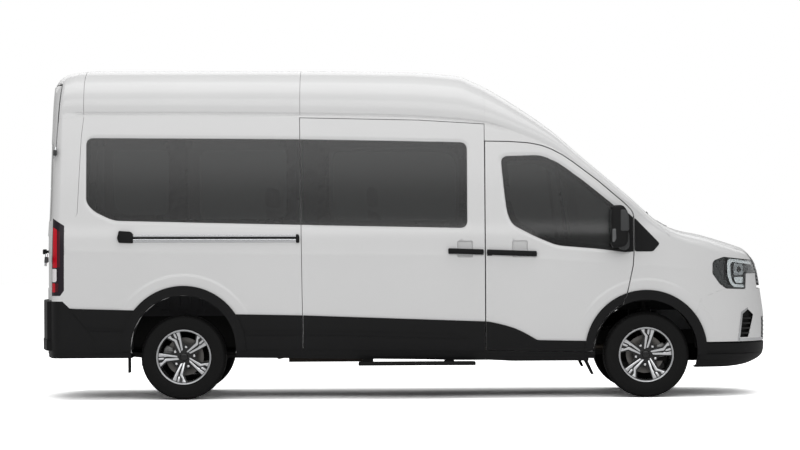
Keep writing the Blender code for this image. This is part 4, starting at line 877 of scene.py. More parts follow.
def painted(piece, body, node, inside=None, inside_material=None, dark_below=0.0):
    """A finished painted panel, with its inner frame, standing for its CAD node."""
    piece.data.materials.clear()
    piece.data.materials.append(white_paint)
    piece.data.materials.append(black_moulding)
    for face in piece.data.polygons:
        low = face.center.z < dark_below
        x, z = face.center.x, face.center.z
        in_front = math.hypot(x - FRONT_ARCH[0], z - FRONT_ARCH[1]) < FRONT_ARCH_RADIUS + 0.003
        in_rear = math.hypot(x - REAR_ARCH[0], z - REAR_ARCH[1]) < REAR_ARCH_RADIUS + 0.003
        edge_on = abs(face.normal.y) < 0.5
        face.material_index = 1 if low or (edge_on and (in_front or in_rear)) else 0
    if inside is not None:
        inside.data.materials.clear()
        inside.data.materials.append(inside_material or white_paint)
        joined(piece, inside)
    smooth(piece)
    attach(piece, body)
    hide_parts(node)
    return piece


# Side glass: toughened privacy glass bonded flush, with a fired black band round each clear part
tinted_glass = bpy.data.materials.new("privacy_glass")
tinted_glass.use_nodes = True
glass_shader = tinted_glass.node_tree.nodes["Principled BSDF"]
GLASS_SETTINGS = {
    "Roughness": 0.02,
    "IOR": 1.01,
    "Transmission Weight": 1.0,
    "Coat Weight": 1.0,
    "Coat Roughness": 0.20,
}
for key, value in GLASS_SETTINGS.items():
    glass_shader.inputs[key].default_value = value
glass_place = add_node(tinted_glass.node_tree, "TexCoord")
glass_cloud = add_node(
    tinted_glass.node_tree,
    "TexNoise",
    {"Scale": 2.0, "Detail": 1.0},
    {"Vector": glass_place.outputs["Object"]},
)
glass_tone = add_node(tinted_glass.node_tree, "ValToRGB", {}, {"Fac": glass_cloud.outputs["Fac"]})
glass_tone.color_ramp.elements[0].color = linear("#434645")
glass_tone.color_ramp.elements[1].color = linear("#494C4B")
tinted_glass.node_tree.links.new(glass_tone.outputs["Color"], glass_shader.inputs["Base Color"])
# Fired ceramic band behind the glass edge: dense matt black enamel
black_enamel = speckled(
    "fired_black_enamel", "#070708", {"Roughness": 0.6, "Specular IOR Level": 0.2}, 1.0, tone=0.05
)


def glazed(panel, name, outline, openings, side, body, node):
    """Seat a pane and its black band in a panel, and open the panel behind the clear parts."""
    pane = pressing(name + "_pane", [side_slab(outline, side)], [], pane_skin)
    band = pressing(name + "_band", [side_slab(grown(outline, -0.001), side)], [], band_skin)
    seat = carve(side_slab(grown(outline, SEAT + 0.0007), side), band_back)
    carve(panel, seat)
    for opening in openings:
        hole = side_slab(opening, side)
        carve(panel, hole)
        carve(band, hole)
    finish_piece(pane, tinted_glass, body)
    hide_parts(node)
    finish_piece(band, black_enamel, body)
    return pane


# Below this height the panels' faces take the black grained moulding
BLACK_FACES_BELOW = 0.404

roof = pressing(
    "roof_skin",
    [slab(ROOF_LINE + [(ROOF_SEAM_X, 2.9), (-3.00, 2.9)], "XZ", -1.3, 1.3)],
    rear_openings
    + [box((x, -1.3, 2.2), (x + SEAM_WIDE, 1.3, 2.9)) for x in (-0.8335, -2.5895)],
)
painted(roof, "body", "roof", cad_inside("roof_inside", "roof"))

side_keep_line = [(x, z - SEAT) for x, z in ROOF_LINE] + [(ROOF_SEAM_X, 0.2), (-3.00, 0.2)]
for side, tag in SIDE_NAMES:
    tail_seat = side_slab(grown(TAIL_LAMP_LINE, SEAT), side, 0.90)
    panel = pressing(
        "body_side_skin_" + tag,
        [side_slab(side_keep_line, side)],
        [*rear_openings, rear_bumper_region, tail_seat, seam_slab(REAR_CORNER_SEAM, side)],
    )
    inner_frame = cad_inside("body_side_inside_" + tag, "body_side_" + tag)
    if side == RIGHT:
        carve(panel, sliding_opening)
    glazed(
        panel, "rear_window_" + tag, REAR_PANE_LINE, REAR_PANE_OPENINGS, side, "body", "rear_glass_" + tag
    )
    if side == LEFT:
        carve(panel, seam_slab([(-0.833, 2.300), (-0.833, 2.135)], side))
        glazed(
            panel,
            "middle_window",
            SLIDING_PANE_LINE,
            [SLIDING_PANE_OPENING],
            side,
            "body",
            "middle_glass_left",
        )
    painted(panel, "body", "body_side_" + tag, inner_frame, dark_below=BLACK_FACES_BELOW)

HANDLE_CUPS = {"sliding": 0.503, "front": 0.947}
CUP_SIZE = (0.128, 0.034, 0.138)


def cup_cutter(at_x, side):
    """A rounded hollow behind a door handle."""
    cutter = box(
        (at_x - CUP_SIZE[0] / 2, side * 1.016 - CUP_SIZE[1] / 2 - 0.004, 1.209 - CUP_SIZE[2] / 2),
        (at_x + CUP_SIZE[0] / 2, side * 1.016 + CUP_SIZE[1] / 2 + 0.004, 1.209 + CUP_SIZE[2] / 2),
    )
    soft = cutter.modifiers.new("soft", "BEVEL")
    soft.width = 0.016
    soft.segments = 5
    apply_all(cutter)
    return cutter


for side, tag in SIDE_NAMES:
    panel = pressing("front_door_skin_" + tag, [side_slab(FRONT_DOOR_LINE, side)], [])
    inner_frame = cad_inside("front_door_inside_" + tag, "front_door_" + tag)
    leaf = "front_door_leaf_" + tag
    glazed(
        panel,
        "front_window_" + tag,
        FRONT_WINDOW_LINE,
        [FRONT_WINDOW_OPENING],
        side,
        leaf,
        "front_door_glass_" + tag,
    )
    carve(panel, cup_cutter(HANDLE_CUPS["front"], side))
    painted(panel, leaf, "front_door_" + tag, inner_frame)

sliding_door = pressing("sliding_door_skin", [side_slab(SLIDING_DOOR_LINE, RIGHT)], [])
sliding_inside = cad_inside("sliding_door_inside", "sliding_door")
glazed(
    sliding_door,
    "sliding_window",
    SLIDING_PANE_LINE,
    [SLIDING_PANE_OPENING],
    RIGHT,
    "body",
    "sliding_door_glass",
)
carve(sliding_door, cup_cutter(HANDLE_CUPS["sliding"], RIGHT))
painted(sliding_door, "body", "sliding_door", sliding_inside)

cab_skin = pressing(
    "cab_frame_skin",
    [slab(CAB_LINE, "XZ", -1.3, 1.3)],
    [door_openings[RIGHT], door_openings[LEFT], screen_seat, screen_opening, bonnet_region],
)
painted(cab_skin, "body", "cab_frame", cad_inside("cab_inside", "cab_frame"), dark_below=BLACK_FACES_BELOW)

bonnet_inner = body_form("bonnet_inner", 0.030, False, 3)
HELPERS.append(bonnet_inner)
bonnet_shell = carve(twin(body_outer, "bonnet_shell"), bonnet_inner)
HELPERS.append(bonnet_shell)
bonnet = pressing("bonnet_skin", [slab(mirrored(BONNET_PLAN), "XY", 1.02, 1.60)], [], bonnet_shell)
painted(bonnet, "bonnet_lid", "bonnet")

cab_clear = slab(grown(CAB_LINE, SEAT), "XZ", -1.3, 1.3)
for side, tag in SIDE_NAMES:
    panel = pressing(
        "wing_skin_" + tag,
        [side_slab(WING_LINE, side, 0.40)],
        [
            door_openings[side],
            front_bumper_region,
            bonnet_region,
            lamp_seats[side],
            grille_region,
            cab_clear,
            screen_seat,
        ],
    )
    inner_frame = cad_inside("wing_inside_" + tag, "wing_" + tag)
    painted(panel, "body", "wing_" + tag, inner_frame, black_moulding, dark_below=BLACK_FACES_BELOW)

# Windscreen: laminated glass bonded into the cab frame, with a black band fired round its edge
screen_line = slab(mirrored(WINDSCREEN_PLAN), "XY", 1.30, 2.60)
windscreen = pressing("windscreen_pane", [screen_line], [], pane_skin)
finish_piece(windscreen, tinted_glass, "body")
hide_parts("windscreen")
screen_band = pressing(
    "windscreen_band",
    [slab(grown(mirrored(WINDSCREEN_PLAN), -0.001), "XY", 1.30, 2.60)],
    [screen_opening],
    band_skin,
)
finish_piece(screen_band, black_enamel, "body")

# Rear doors: two full-height steel leaves, each with bonded heated glass, hung on hinges at the corners
REAR_GLASS = rounded([(0.090, 1.455), (0.820, 1.455), (0.780, 2.090), (0.090, 2.090)], 0.06)
REAR_CLEAR = rounded([(0.135, 1.500), (0.772, 1.500), (0.740, 2.045), (0.135, 2.045)], 0.04)
for side, tag in SIDE_NAMES:
    leaf = "rear_door_leaf_" + tag
    outline = [(side * y, z) for y, z in REAR_GLASS]
    clear = slab([(side * y, z) for y, z in REAR_CLEAR], "YZ", -3.10, -2.72)
    seat = carve(slab(grown(outline, SEAT + 0.0007), "YZ", -3.10, -2.76), band_back)
    panel = pressing("rear_door_skin_" + tag, [rear_door_form(side, 0.0, 0.0)], [seat, clear])
    # A shallow pressed field under the glass stiffens the leaf and holds the blank plate on the left one
    field = rounded(
        [(side * y, z) for y, z in ((0.080, 0.900), (0.800, 0.900), (0.800, 1.330), (0.080, 1.330))], 0.05
    )
    hollow = carve(slab(field, "YZ", -3.10, -2.78), pane_back)
    soft = hollow.modifiers.new("soft", "BEVEL")
    soft.width = 0.004
    soft.segments = 2
    apply_all(hollow)
    carve(panel, hollow)
    painted(panel, leaf, "rear_door_" + tag, cad_inside("rear_door_inside_" + tag, "rear_door_" + tag))
    pane = pressing("rear_door_pane_" + tag, [slab(outline, "YZ", -3.10, -2.76)], [], pane_skin)
    finish_piece(pane, tinted_glass, leaf)
    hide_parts("rear_door_glass_" + tag)
    band = pressing(
        "rear_door_band_" + tag, [slab(grown(outline, -0.001), "YZ", -3.10, -2.76)], [clear], band_skin
    )
    finish_piece(band, black_enamel, leaf)

# Bumpers: front cover in body-colour polypropylene over a grained black skirt, rear one black with a step.
# The skirt and every black cladding strip stand a few millimetres off the paint, held by clips.
tail_face = body_form("tail_face", 0.0015, False, 2)
vent_floor = body_form("vent_floor", 0.014, False, 2)
HELPERS += [tail_face, vent_floor]
clad_front = body_form("clad_front", -0.010, False, 2)
flare_front = body_form("flare_front", -0.018, False, 2)
sill_front = body_form("sill_front", -0.004, False, 2)
clad_back = body_form("clad_back", 0.002, False, 2)
HELPERS += [clad_front, flare_front, sill_front, clad_back]
clad_skin = carve(twin(clad_front, "clad_skin"), clad_back)
flare_skin = carve(twin(flare_front, "flare_skin"), clad_back)
sill_skin = carve(twin(sill_front, "sill_skin"), clad_back)
HELPERS += [clad_skin, flare_skin, sill_skin]

SKIRT_TOP = 0.446
VENT_LINE = rounded(
    [(2.762, 0.668), (2.812, 0.706), (2.859, 0.661), (2.811, 0.478), (2.737, 0.478)], 0.006, 3
)
front_cover = pressing(
    "front_bumper_cover",
    [slab(FRONT_BUMPER_LINE, "XZ", -1.3, 1.3), box((2.0, -1.3, SKIRT_TOP), (3.2, 1.3, 1.0))],
    [box((2.80, -0.545, 0.470), (3.10, 0.545, 0.640)), grille_region],
)
for side, tag in SIDE_NAMES:
    carve(front_cover, side_slab(VENT_LINE, side, 0.45))
    carve(front_cover, lamp_seats[side])
painted(front_cover, "body", "front_bumper")
skirt = pressing(
    "front_skirt",
    [slab(FRONT_BUMPER_LINE, "XZ", -1.3, 1.3), box((2.0, -1.3, 0.1), (3.2, 1.3, SKIRT_TOP - 0.010))],
    [],
)
finish_piece(skirt, black_moulding, "body")
skirt_lip = pressing(
    "skirt_lip", [box((2.40, -1.3, 0.300), (3.2, 1.3, SKIRT_TOP - 0.012))], ARCH_CUTS, clad_skin
)
carve(skirt_lip, box((2.40, -1.3, 0.345), (3.2, 1.3, 0.372)))
finish_piece(skirt_lip, black_moulding, "body")

# Thin bright strip between the painted cover and the skirt: extruded and satin anodised
satin_metal = speckled(
    "satin_anodised_aluminium", "#C9CACC", {"Roughness": 0.26, "Metallic": 1.0}, 0.8, tone=0.05, rough=0.06
)
bright_strip = pressing(
    "skirt_bright_strip",
    [box((2.728, -1.3, SKIRT_TOP + 0.004), (3.2, 1.3, SKIRT_TOP + 0.024))],
    [],
    sill_skin,
)
finish_piece(bright_strip, satin_metal, "body")

recess_skin = carve(twin(band_back, "recess_skin"), vent_floor)
bar_skin = carve(twin(tail_face, "bar_skin"), vent_floor)
HELPERS += [recess_skin, bar_skin]
grille_grey = speckled(
    "satin_grey_grille_lacquer", "#6F7072", {"Roughness": 0.35, "Metallic": 0.3}, 1.5, tone=0.08
)
vent_deep = body_form("vent_deep", 0.050, False, 4)
vent_bulk = carve(twin(inside_form, "vent_bulk"), vent_deep)
HELPERS += [vent_deep, vent_bulk]

# Lower vents: black mesh boxes behind a satin frame in each corner of the bumper
for side, tag in SIDE_NAMES:
    bezel = [
        (2.812, 0.7210), (2.752, 0.6850), (2.721, 0.4520), (2.738, 0.4520), (2.764, 0.6690), (2.812, 0.7070)
    ]
    frame_piece = pressing("vent_frame_" + tag, [side_slab(bezel, side, 0.45)], [], sill_skin)
    finish_piece(frame_piece, satin_metal, "body")
    vent_back = pressing(
        "vent_back_" + tag, [side_slab(grown(VENT_LINE, 0.004), side, 0.45)], [], vent_bulk
    )
    finish_piece(vent_back, black_moulding, "body")
    for index, z in enumerate((0.505, 0.545, 0.585, 0.625)):
        slat = pressing(
            "vent_slat_%d_%s" % (index, tag),
            [side_slab(grown(VENT_LINE, 0.004), side, 0.45), box((2.70, -1.3, z), (2.835, 1.3, z + 0.014))],
            [],
        )
        finish_piece(slat, black_abs, "body")

# Lower intake and grille: black panels 8 mm behind the nose's skin, crossed by bars that lie flush with it
intake_panel = pressing("intake_panel", [box((2.80, -0.549, 0.466), (3.10, 0.549, 0.644))], [], recess_skin)
finish_piece(intake_panel, black_moulding, "body")
grille_open = box((2.60, -GRILLE_HALF + 0.030, 0.905), (3.10, GRILLE_HALF - 0.030, 1.062))
grille_frame = pressing(
    "grille_frame",
    [box((2.700, -GRILLE_HALF, 0.8705), (3.100, GRILLE_HALF, 1.2995))],
    [front_bumper_region, bonnet_region, grille_open],
)
finish_piece(grille_frame, black_abs, "body")
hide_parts("grille")
grille_panel = pressing(
    "grille_panel",
    [box((2.60, -GRILLE_HALF + 0.026, 0.895), (3.10, GRILLE_HALF - 0.026, 1.070))],
    [bonnet_region],
    recess_skin,
)
finish_piece(grille_panel, black_moulding, "body")
BAR_ROWS = [("intake", 0.545, 0.484 + 0.036 * k, 0.014, black_abs) for k in range(5)]
BAR_ROWS += [("grille", GRILLE_HALF - 0.028, 0.917 + 0.030 * k, 0.016, grille_grey) for k in range(4)]
BAR_ROWS += [("grille_strip", GRILLE_HALF - 0.028, 1.036, 0.012, satin_metal)]
for name, half_wide, z, high, finish in BAR_ROWS:
    bar = pressing(
        "%s_bar_%d" % (name, round(z * 1000)),
        [box((2.60, -half_wide, z), (3.10, half_wide, z + high))],
        [],
        bar_skin,
    )
    finish_piece(bar, finish, "body")


def bowed_half(middle_x):
    """Half of the rear step's edge from above, drawn forwards towards its corner."""
    return [(middle_x + REAR_BOW * (k / 20) ** 1.6, k / 20) for k in range(19)]


rear_cover = pressing("rear_bumper_cover", [slab(REAR_BUMPER_LINE, "XZ", -1.3, 1.3)], [])
rear_lip = pressing(
    "rear_bumper_lip", [slab(grown(REAR_BUMPER_LINE, -0.004), "XZ", -1.3, 1.3)], [], sill_skin
)
rear_step = slab(mirrored(bowed_half(-2.991) + [(-2.820, 0.940), (-2.780, 0.0)]), "XY", 0.4900, 0.8025)
HELPERS.remove(rear_step)
carve(rear_step, box((-3.1, -0.300, 0.560), (-2.972, 0.300, 0.700)))
low_step = slab(mirrored(bowed_half(-2.996) + [(-2.820, 0.940), (-2.780, 0.0)]), "XY", 0.4020, 0.4860)
HELPERS.remove(low_step)
carve(rear_step, low_step, "UNION")
HELPERS.append(low_step)
soft = rear_step.modifiers.new("soft", "BEVEL")
soft.width = 0.018
soft.segments = 4
soft.limit_method = "ANGLE"
apply_all(rear_step)
carve(rear_cover, rear_step, "UNION")
HELPERS.append(rear_step)
finish_piece(rear_cover, black_moulding, "body")
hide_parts("rear_bumper")
finish_piece(rear_lip, black_moulding, "body")

# Cladding: grained black strips along the sills and doors, and a broad flare round each wheel arch
REAR_FLARE = 0.504
FRONT_FLARE = 0.496
rear_disc = {
    side: side_slab(
        arc_points(REAR_ARCH, REAR_FLARE - 0.002, 0, 355, 71), side, 0.5, 1.3
    ) for side in (-1, 1)
}
front_disc = {
    side: side_slab(
        arc_points(FRONT_ARCH, FRONT_FLARE - 0.002, 0, 355, 71), side, 0.5, 1.3
    ) for side in (-1, 1)
}
QUARTER_CLAD = [
    (-2.704, 0.7465), (-2.650, 0.7425), (-2.15, 0.7275), (-2.05, 0.385), (-2.504, 0.385), (-2.504, 0.50)
]
MID_CLAD = [(-1.42, 0.694), (-0.8175, 0.6805), (-0.8175, 0.402), (-1.42, 0.410)]
SLIDING_CLAD = [(-0.8105, 0.6805), (0.6615, 0.6235), (0.6615, 0.384), (-0.8105, 0.4000)]
LONG_CLAD = [(-1.42, 0.694), (-0.8175, 0.6805), (0.6615, 0.6235), (0.6615, 0.384), (-1.42, 0.410)]
DOOR_CLAD = [
    (0.6715, 0.6230), (0.700, 0.6200), (0.758, 0.6080), (0.830, 0.5900), (0.901, 0.5670), (0.970, 0.5360),
    (1.082, 0.4720), (1.110, 0.4690), (1.466, 0.4610), (1.600, 0.4600), (1.600, 0.3650), (0.6715, 0.3840),
]
STEP_GROOVES = (
    [(-2.63, 0.600), (-2.29, 0.577), (-2.20, 0.577), (-2.20, 0.548), (-2.56, 0.560)],
    [
        (-1.36, 0.562),
        (-0.60, 0.556),
        (0.40, 0.530),
        (0.49, 0.502),
        (0.545, 0.476),
        (-0.60, 0.514),
        (-1.36, 0.520),
    ],
)
SILL_STRIP = [
    (-1.46, 0.414),
    (-0.815, 0.4060),
    (0.665, 0.3880),
    (1.480, 0.3680),
    (1.560, 0.3680),
    (1.560, 0.250),
    (-1.46, 0.250),
]


def clad(name, outline, side, cuts, body, source=None):
    """One strip of cladding on one side, with the step grooves cut in when it comes from the cladding skin.
    """
    strip = pressing(name, [side_slab(outline, side, 0.5)], cuts, source or clad_skin)
    if source is None:
        for groove in STEP_GROOVES:
            trench = side_slab(groove, side, 0.5)
            carve(strip, carve(trench, sill_front))
    finish_piece(strip, black_moulding, body)
    return strip


for side, tag in SIDE_NAMES:
    clad("quarter_cladding_" + tag, QUARTER_CLAD, side, [rear_disc[side]], "body")
    if side == RIGHT:
        clad("mid_cladding", MID_CLAD, side, [rear_disc[side]], "body")
        clad("sliding_door_cladding", SLIDING_CLAD, side, [], "body")
    else:
        clad("long_cladding", LONG_CLAD, side, [rear_disc[side]], "body")
    leaf = "front_door_leaf_" + tag
    door_form = side_slab(FRONT_DOOR_LINE, side)
    door_strip = pressing(
        "front_door_cladding_" + tag,
        [side_slab(DOOR_CLAD, side, 0.5), door_form],
        [front_disc[side]],
        clad_skin,
    )
    finish_piece(door_strip, black_moulding, leaf)
    clad("sill_strip_" + tag, SILL_STRIP, side, ARCH_CUTS, "body", sill_skin)
    for end, arch, outer, inner, low in (
        ("rear", REAR_ARCH, REAR_FLARE, REAR_ARCH_RADIUS, 0.395),
        ("front", FRONT_ARCH, FRONT_FLARE, FRONT_ARCH_RADIUS, 0.345),
    ):
        ring = side_slab(arc_points(arch, outer, 0, 356.25, 95), side, 0.5, 1.3)
        limit = box((arch[0] - 0.6, -1.4, low), (arch[0] + 0.6, 1.4, 1.2))
        eye = side_slab(arc_points(arch, inner - 0.004, 0, 356.25, 95), side, 0.5, 1.3)
        flare = pressing("%s_flare_%s" % (end, tag), [ring, limit], [eye], flare_skin)
        if end == "front":
            part = pressing("front_flare_door_part_" + tag, [door_form], [], flare)
            finish_piece(part, black_moulding, leaf)
            carve(flare, door_openings[side])
        finish_piece(flare, black_moulding, "body")

# Wheels: steel-belted tyres on cast alloy rims with five split spokes, faced bright over black pockets
TYRE_PROFILE = [
    (0.2185, -0.100), (0.2230, -0.109), (0.2340, -0.1135), (0.2520, -0.1165), (0.2850, -0.1180),
    (0.3050, -0.1168), (0.3200, -0.1138), (0.3225, -0.1150), (0.3260, -0.1120), (0.3330, -0.1060),
    (0.3390, -0.0980), (0.3430, -0.0890), (0.3448, -0.0780), (0.3452, -0.0600), (0.3385, -0.0590),
    (0.3385, -0.0505), (0.3458, -0.0495), (0.3460, -0.0230), (0.3390, -0.0220), (0.3390, -0.0135),
    (0.3460, -0.0125),
]
TYRE_PROFILE += [(radius, -out) for radius, out in reversed(TYRE_PROFILE)]
RIM_PROFILE = [
    (0.2010, -0.0950), (0.2045, -0.1040), (0.2215, -0.1060), (0.2215, -0.1010), (0.2184, -0.0980),
    (0.2184, 0.1020), (0.2222, 0.1065), (0.2226, 0.1110), (0.2200, 0.1132), (0.2170, 0.1125),
    (0.2145, 0.1080), (0.2105, 0.1060), (0.2075, 0.1000), (0.2050, 0.0700), (0.2010, 0.0200),
]


def turned(name, profile, steps, closed=True):
    """A form spun about the Y axis from a profile of radius and distance along the axis."""
    count = len(profile)
    mesh = bpy.data.meshes.new(name)
    ends = range(count) if closed else range(count - 1)
    mesh.from_pydata([(r, y, 0.0) for r, y in profile], [(i, (i + 1) % count) for i in ends], [])
    made = bpy.data.objects.new(name, mesh)
    shelf.objects.link(made)
    take(made)
    spin = made.modifiers.new("spin", "SCREW")
    spin.axis = "Y"
    spin.steps = steps
    spin.render_steps = steps
    spin.use_merge_vertices = True
    spin.merge_threshold = 0.00002
    bpy.ops.object.modifier_apply(modifier=spin.name)
    bpy.ops.object.mode_set(mode="EDIT")
    bpy.ops.mesh.select_all(action="SELECT")
    bpy.ops.mesh.remove_doubles(threshold=0.00002)
    bpy.ops.mesh.normals_make_consistent(inside=False)
    bpy.ops.object.mode_set(mode="OBJECT")
    return put_away(made)


def rod(name, start, end, radius, sides=48, ease_edge=0.0):
    """A round bar between two points."""
    start, end = Vector(start), Vector(end)
    bpy.ops.object.select_all(action="DESELECT")
    bpy.ops.mesh.primitive_cylinder_add(vertices=sides, radius=radius, depth=(end - start).length)
    made = bpy.context.active_object
    made.name = name
    turn = (end - start).to_track_quat("Z", "Y").to_matrix().to_4x4()
    made.data.transform(Matrix.Translation((start + end) / 2) @ turn)
    put_away(made)
    if ease_edge:
        soften(made, ease_edge)
    return made


def soften(piece, width, segments=3, angle=40):
    """Round the sharp edges of a piece."""
    step = piece.modifiers.new("soft", "BEVEL")
    step.width = width
    step.segments = segments
    step.limit_method = "ANGLE"
    step.angle_limit = math.radians(angle)
    apply_all(piece)
    return piece


def block(name, low, high, width=0.0, segments=3):
    """A box that stays in the scene, its edges rounded."""
    made = box(low, high)
    HELPERS.remove(made)
    made.name = name
    if width:
        soften(made, width, segments)
    return made


def plate(name, outline, plane, low, high, width=0.0, segments=3):
    """A flat plate that stays in the scene, its edges rounded."""
    made = slab(outline, plane, low, high)
    HELPERS.remove(made)
    made.name = name
    if width:
        soften(made, width, segments)
    return made


def moved(source, name, matrix):
    """A copy with a mesh of its own, placed by a matrix."""
    made = twin(source, name)
    made.data.transform(matrix)
    if matrix.determinant() < 0:
        made.data.flip_normals()
    return made


def coloured(piece, material):
    """Give a piece one material."""
    piece.data.materials.clear()
    piece.data.materials.append(material)
    return piece


# Tyre rubber: carbon black compound, dull, its tone varying a little at random
tyre_rubber = speckled(
    "tyre_rubber_compound",
    "#0D0D0D",
    {"Roughness": 0.70, "Specular IOR Level": 0.2},
    2.0,
    tone=0.18,
    bump=0.00015,
    rough=0.08,
)
# Diamond-turned aluminium under lacquer, with lathe rings too fine to see but for their sheen
turned_alloy = speckled(
    "machined_aluminium_face", "#D2D3D5", {"Roughness": 0.30, "Metallic": 0.85}, 0.6, tone=0.05, rough=0.07
)
pocket_black = speckled(
    "gloss_black_wheel_lacquer", "#0D0D0E", {"Roughness": 0.26, "IOR": 1.5}, 3.0, tone=0.10
)
cast_iron = speckled(
    "turned_brake_iron", "#8A8784", {"Roughness": 0.42, "Metallic": 0.6}, 1.2, tone=0.14, rough=0.10
)
cast_alloy = speckled(
    "cast_aluminium_skin",
    "#A3A3A2",
    {"Roughness": 0.46, "Metallic": 0.7},
    1.5,
    tone=0.12,
    bump=0.0003,
    rough=0.08,
)

bright_nut = speckled(
    "chromed_wheel_nut", "#E6E6E8", {"Roughness": 0.18, "Metallic": 0.9}, 0.8, tone=0.04, rough=0.05
)

tyre = turned("tyre_form", TYRE_PROFILE, 120)
notch_line = [(0.3300, 0.0800), (0.3600, 0.0790), (0.3600, 0.1250), (0.3300, 0.1250)]
NOTCHES = 60
notch = plate("notch", notch_line, "XY", -0.0026, 0.0026)
notches = [notch]
for side in (RIGHT, LEFT):
    for index in range(NOTCHES):
        turn = Matrix.Rotation(2 * math.pi * (index + 0.25 * side) / NOTCHES, 4, "Y")
        flip = Matrix.Scale(side, 4, (0, 1, 0))
        notches.append(moved(notch, "notch", turn @ flip))
bpy.data.objects.remove(notches.pop(0))
notch_ring = joined(notches[0], *notches[1:])
carve(tyre, notch_ring)
HELPERS.append(notch_ring)
coloured(tyre, tyre_rubber)

# One split spoke seen from outside, u outwards from the hub and v to the right
LEFT_ARM = [
    (-15.5, 43), (-3.6, 48), (10.3, 151), (-17, 181), (-17, 212), (-50, 206), (-44, 196), (-11, 148)
]
RIGHT_ARM = [
    (2.6, 51), (18, 56), (46.5, 144), (62, 196), (58, 204), (33.6, 211), (31, 161), (24, 154), (25.8, 136)
]
MIDDLE_BAR = [(7.7, 211), (24, 210), (20.7, 164), (14.5, 159), (5.7, 169)]
WINDOW = [(0.2035, a) for a in range(106, 144, 4)] + [(0.2035, 143.5), (0.150, 141), (0.112, 137)]
WINDOW += [(0.103, 131), (0.102, 121), (0.103, 111), (0.112, 104.5), (0.150, 99.5)]
POCKET_FACE = 0.050
POCKET_BACK = 0.012


def dish(piece):
    """Lean a wheel centre outwards towards its rim."""
    for vertex in piece.data.vertices:
        away = math.hypot(vertex.co.x, vertex.co.z) / 0.205
        vertex.co.y -= 0.020 * away * away
    return piece


spider_rows = [(0.0001, -POCKET_FACE)] + [
    (0.019 * k, -POCKET_FACE - 0.020 * (0.019 * k / 0.205) ** 2) for k in range(1, 12)
]
spider_rows += [
    (0.2095, -POCKET_FACE - 0.021),
    (0.2095, -POCKET_BACK - 0.021),
    (0.12, -POCKET_BACK - 0.007),
    (0.0001, -POCKET_BACK),
]
spider = turned("spider", spider_rows, 120)
faces = []
nuts = []
for index in range(5):
    spin_by = Matrix.Rotation(math.radians(-72 * index), 4, "Y")
    pocket = [(r * math.cos(math.radians(a)), r * math.sin(math.radians(a))) for r, a in WINDOW]
    hole = plate("pocket", rounded(pocket, 0.006, 3), "XZ", -0.2, 0.2)
    hole.data.transform(spin_by)
    carve(spider, hole)
    HELPERS.append(hole)
    for line in (LEFT_ARM, RIGHT_ARM, MIDDLE_BAR):
        outline = rounded([(v / 1000, u / 1000) for v, u in line], 0.003, 2)
        face = plate("spoke_face", outline, "XZ", -POCKET_FACE - 0.0045, -POCKET_FACE + 0.002, 0.0012, 2)
        face.data.transform(spin_by)
        faces.append(face)
    angle = math.radians(123 - 72 * index)
    at_x, at_z = 0.083 * math.cos(angle), 0.083 * math.sin(angle)
    well = rod("nut_well", (at_x, -0.2, at_z), (at_x, -POCKET_FACE + 0.014, at_z), 0.0165, 24)
    carve(spider, well)
    HELPERS.append(well)
    nut = rod(
        "nut", (at_x, -POCKET_FACE, at_z), (at_x, -POCKET_FACE + 0.020, at_z), 0.0135, 6, 0.002
    )
    dome = rod(
        "nut_dome",
        (at_x, -POCKET_FACE - 0.008, at_z),
        (at_x, -POCKET_FACE + 0.010, at_z),
        0.0120,
        20,
        0.007,
    )
    nuts += [nut, dome]
cap = turned(
    "cap",
    [(0.0, -0.061), (0.018, -0.0605), (0.028, -0.058), (0.033, -0.052), (0.034, -0.044), (0.0, -0.044)],
    48,
    False,
)
barrel = turned("barrel", [(r, -y) for r, y in RIM_PROFILE], 120)
coloured(spider, pocket_black)
coloured(cap, pocket_black)
coloured(barrel, turned_alloy)
barrel.data.materials.append(pocket_black)
for face in barrel.data.polygons:
    around = math.hypot(face.center.x, face.center.z)
    face.material_index = 0 if face.center.y < -0.1045 and around > 0.2085 else 1
for piece in faces:
    dish(coloured(piece, turned_alloy))
for piece in nuts:
    dish(coloured(piece, bright_nut))
valve = rod("valve", (0.150, -0.070, 0.135), (0.157, -0.098, 0.141), 0.004, 12, 0.001)
coloured(valve, pocket_black)
rim = joined(barrel, spider, cap, valve, *faces, *nuts)
rim.name = "rim_form"

